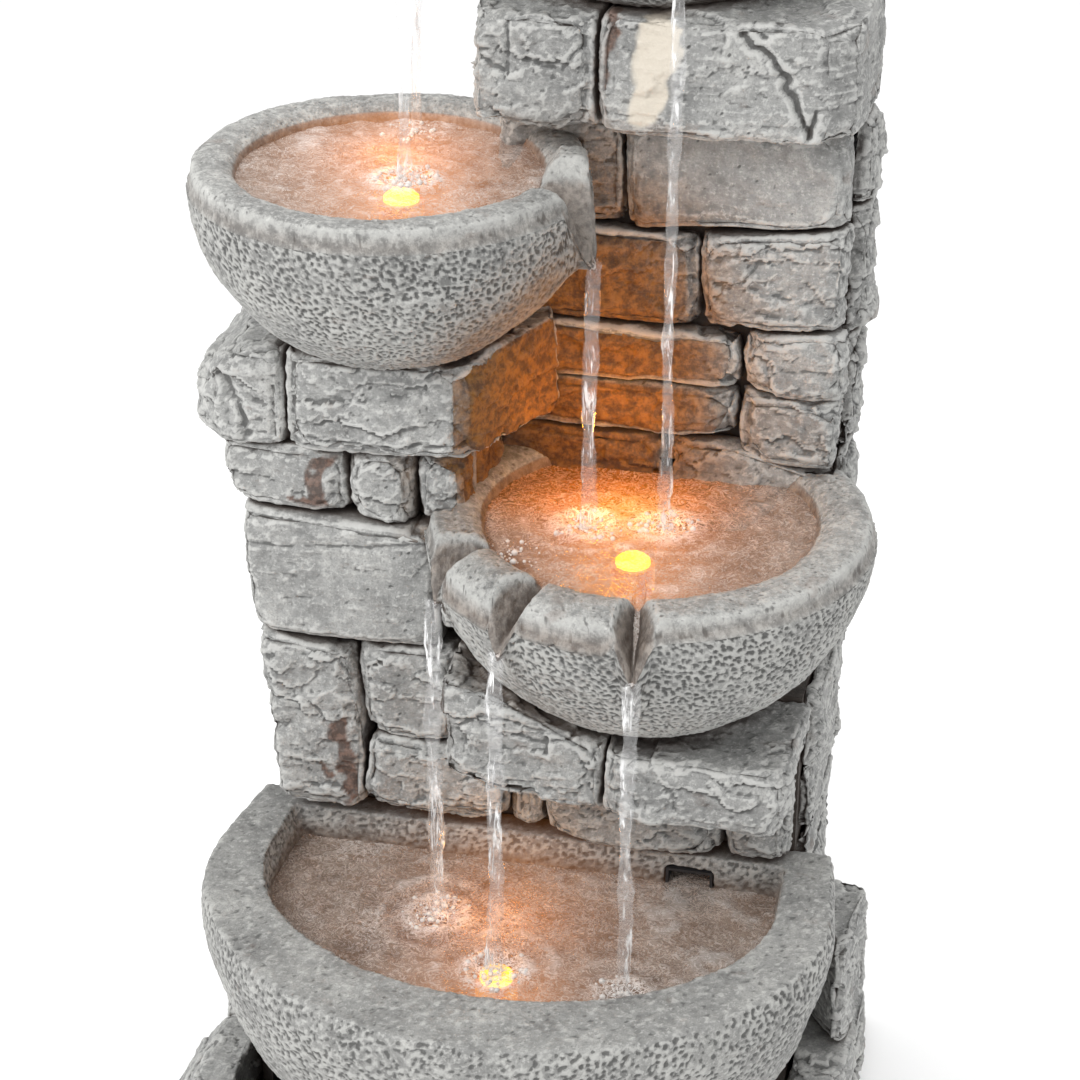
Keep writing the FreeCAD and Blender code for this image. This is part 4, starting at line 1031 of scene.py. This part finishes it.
def stream(name, start, landing, radius, salt, flat=0.5):
    """A falling rope of water from start to landing that leaves nearly level, narrows and beads."""
    start, landing = np.array(start, float), np.array(landing, float)
    fall = start[2] - landing[2]
    rows = max(24, int(fall / 1.6))
    t = np.linspace(0, 1, rows)
    down = t ** 1.15 * fall
    forward = np.sqrt(np.clip(down / fall, 0, 1))
    path = start + (landing - start) * forward[:, None]
    path[:, 2] = start[2] - down
    key = np.stack([path[:, 2] * 0, path[:, 2] * 0, path[:, 2]], 1).astype(np.float32)
    sway = np.stack([noise(key, 60, salt), noise(key, 60, salt + 1)], 1) * 1.2 * np.sin(np.pi * t)[:, None]
    path[:, :2] += sway
    beads = 1 + 0.20 * noise(key, 17, salt + 2) + 0.12 * noise(key, 6, salt + 3)
    size = radius * (0.62 + 0.38 * np.exp(-t * 3.0)) * beads
    size *= 1 + 0.5 * np.exp(-(1 - t) * 16)
    around = circle(22)
    twist = noise(key, 110, salt + 4) * 1.1
    ring = 1 + 0.20 * np.cos(3 * around[None, :] + key[:, 2:] * 0.05 + salt)
    ring = ring + 0.08 * np.cos(5 * around - key[:, 2:] * 0.09)
    thin = flat + (0.9 - flat) * smooth(0.0, 0.25, t)
    u = size[:, None] * np.cos(around) * ring
    v = size[:, None] * np.sin(around) * ring * thin[:, None]
    x = path[:, :1] + u * np.cos(twist)[:, None] - v * np.sin(twist)[:, None]
    y = path[:, 1:2] + u * np.sin(twist)[:, None] + v * np.cos(twist)[:, None]
    z = np.repeat(path[:, 2:], len(around), 1)
    p = np.stack([x, y, z], -1).reshape(-1, 3)
    last = len(p) - len(around)
    faces = grid_faces(rows, len(around), True)
    faces += [list(range(len(around)))[::-1], list(range(last, len(p)))]
    mesh = quad_mesh("stream_" + name, p, faces)
    mesh.materials.append(falling)
    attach(new_object("stream_" + name, mesh), "root")


def tip_of(b, spout):
    """Where the water leaves a pouring lip."""
    a = math.radians(spout["angle"])
    r = b["r"] + spout["reach"] + 4
    return (b["x"] + r * math.cos(a), b["y"] + r * math.sin(a), b["rim"] - spout["drop"] + 4)


stream("top_left", tip_of(TOP, TOP_SPOUTS[0]), (-91, 36, 722), 6.0, 31)
stream("top_far_left", tip_of(TOP, TOP_SPOUTS[1]), (-107, 122, 722), 4.5, 32)
stream("top_front", tip_of(TOP, TOP_SPOUTS[2]), (83, 32, 494), 5.6, 33)
stream("left", tip_of(LEFT, LEFT_SPOUTS[0]), (34, 18, 494), 7.0, 34, 0.4)
stream("right_a", tip_of(RIGHT, RIGHT_SPOUTS[0]), (-53, -61, 224), 6.5, 35)
stream("right_b", tip_of(RIGHT, RIGHT_SPOUTS[1]), (1, -113, 224), 6.5, 36)
stream("right_c", tip_of(RIGHT, RIGHT_SPOUTS[2]), (91, -125, 224), 6.0, 37)


foam_nodes = Nodes("foam_finish")
foam_colour = foam_nodes.mix(foam_nodes.noise(6), (0.80, 0.76, 0.72), (0.95, 0.94, 0.92))
foam_finish = foam_nodes.shade(Base_Color=foam_colour, Alpha=0.55, Roughness=0.12)


def bubbles(name, spots, salt):
    """Foam round each landing place: small beads of several sizes, half sunk in the surface."""
    bm = bmesh.new()
    number = np.arange(400)
    for which, (x, y, z, power) in enumerate(spots):
        count = int(90 * power)
        k = number[:count].astype(np.int64)
        a = hashed(k, k * 0 + which, k * 0, salt) * 2 * np.pi
        far = hashed(k, k * 0 + which, k * 0 + 1, salt) ** 0.7 * 24
        big = 0.7 + 1.9 * hashed(k, k * 0 + which, k * 0 + 2, salt) ** 3
        for angle, r, size in zip(a.tolist(), far.tolist(), big.tolist()):
            made = bmesh.ops.create_icosphere(bm, subdivisions=1, radius=size * MM)
            offset = Vector((x + r * math.cos(angle), y + r * math.sin(angle), z + size * 0.15)) * MM
            for v in made["verts"]:
                v.co += offset
    mesh = bpy.data.meshes.new("foam_" + name)
    bm.to_mesh(mesh)
    bm.free()
    shade_smooth(mesh)
    mesh.materials.append(foam_finish)
    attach(new_object("foam_" + name, mesh), "root")


bubbles("left", [(-91, 36, 723, 0.9), (-107, 122, 723, 0.4)], 41)
bubbles("right", [(83, 34, 495, 0.8), (33, 20, 495, 1.0), (-10, -30, 495, 0.5)], 42)
bubbles("basin", [(x, y, BASIN_LEVEL, power) for x, y, power in BASIN_LANDINGS], 43)

# --- the CAD nodes that stay ---
lens = Nodes("amber_lens_finish")
glow = lens.mix(lens.span(lens.cells(3.2), 0.1, 0.5), (1.0, 0.80, 0.03), (1.0, 0.50, 0.01))
lens_finish = lens.shade(
    Base_Color=(0.95, 0.50, 0.12, 1), Roughness=0.18, Emission_Color=glow, Emission_Strength=3.0)
lit = Nodes("lit_housing_finish")
lit_body = lit.mix(lit.noise(7), (0.24, 0.10, 0.04), (0.42, 0.21, 0.10))
lit_glow = lit.mix(lit.span(lit.noise(9), 0.40, 0.60), (0.75, 0.16, 0.01), (1.0, 0.34, 0.02))
lit_finish = lit.shade(Base_Color=lit_body, Roughness=0.35, Emission_Color=lit_glow, Emission_Strength=0.8)
KEPT = [
    (shaded_core_finish, "tower_core base_plinth"),
    (lens_finish, "light_lenses"),
    (lit_finish, "light_housings"),
    (plain_material("black_plastic_finish", (0.016, 0.016, 0.017), (0.024, 0.024, 0.026), 0.42),
     "base_plate pump_sump inlet_screen pump_housing pump_cover impeller pump_strainer top_outlet "
     "junction_box cable_gland"),
    (plain_material("rubber_finish", (0.022, 0.021, 0.020), (0.034, 0.033, 0.032), 0.72, 5, 0.12),
     "rubber_feet suction_cups door_seal drain_plug light_grommets light_leads pump_lead"),
    (plain_material("door_panel_finish", (0.15, 0.148, 0.142), (0.23, 0.226, 0.216), 0.6, 5, 0.18),
     "rear_door"),
    (plain_material("knob_finish", (0.04, 0.10, 0.27), (0.06, 0.14, 0.33), 0.30, 4, 0.05), "flow_knob"),
    (plain_material("hose_finish", (0.14, 0.15, 0.15), (0.19, 0.20, 0.20), 0.26, 9, 0.04), "riser_hose"),
    (plain_material("clamp_finish", (0.55, 0.55, 0.54), (0.66, 0.66, 0.65), 0.30, 3, 0.03, 1.0),
     "hose_clamps"),
    (plain_material("shaft_finish", (0.80, 0.79, 0.75), (0.86, 0.85, 0.82), 0.22, 3, 0.02), "impeller_shaft")]
for finish, names in KEPT:
    for name in names.split():
        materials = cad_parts[name].data.materials
        materials.clear()
        materials.append(finish)

# --- stage ---
world = bpy.data.worlds.new("studio")
bpy.context.scene.world = world
world.use_nodes = True
background = world.node_tree.nodes["Background"]
background.inputs["Color"].default_value = (1.0, 1.0, 1.0, 1)
background.inputs["Strength"].default_value = 1.0


def lamp_object(name, kind, place, power):
    lamp = new_object(name, bpy.data.lights.new(name, kind))
    lamp.location = place
    lamp.data.energy = power
    return lamp


def studio_light(name, place, aim, size, power):
    """A square soft light that looks from place to aim, in metres."""
    lamp = lamp_object(name, "AREA", place, power)
    lamp.data.size = size
    lamp.rotation_euler = (Vector(aim) - Vector(place)).to_track_quat("-Z", "Y").to_euler()


studio_light("key", (-1.3, -1.6, 2.1), (0, 0, 0.5), 1.1, 46)
studio_light("fill", (1.9, -1.1, 1.2), (0, 0, 0.5), 1.4, 3)
studio_light("top", (0.2, 0.6, 2.4), (0, 0.05, 0.6), 1.0, 16)


AMBER = (1.0, 0.37, 0.010)


def small_light(name, place, power):
    """The glow of a sunk amber light on what stands round it. Place in mm."""
    lamp = lamp_object(name, "POINT", Vector(place) * MM, power)
    lamp.data.color = AMBER
    lamp.data.specular_factor = 0.05
    lamp.data.shadow_soft_size = 8 * MM
    lamp.visible_camera = False


small_light("glow_right", (38, 54, 556), 0.21)
small_light("glow_wall", (38, 58, 640), 0.05)
small_light("glow_left", (-111, 80, 745), 0.04)
small_light("glow_basin", (-15, -60, 262), 0.06)

floor_mesh = bpy.data.meshes.new("floor")
floor_mesh.from_pydata([(-6, -6, 0), (6, -6, 0), (6, 6, 0), (-6, 6, 0)], [], [(0, 1, 2, 3)])
floor = new_object("floor", floor_mesh)
ground = Nodes("floor_finish")
floor.data.materials.append(ground.shade(Base_Color=(0.93, 0.93, 0.93, 1), Roughness=0.7))
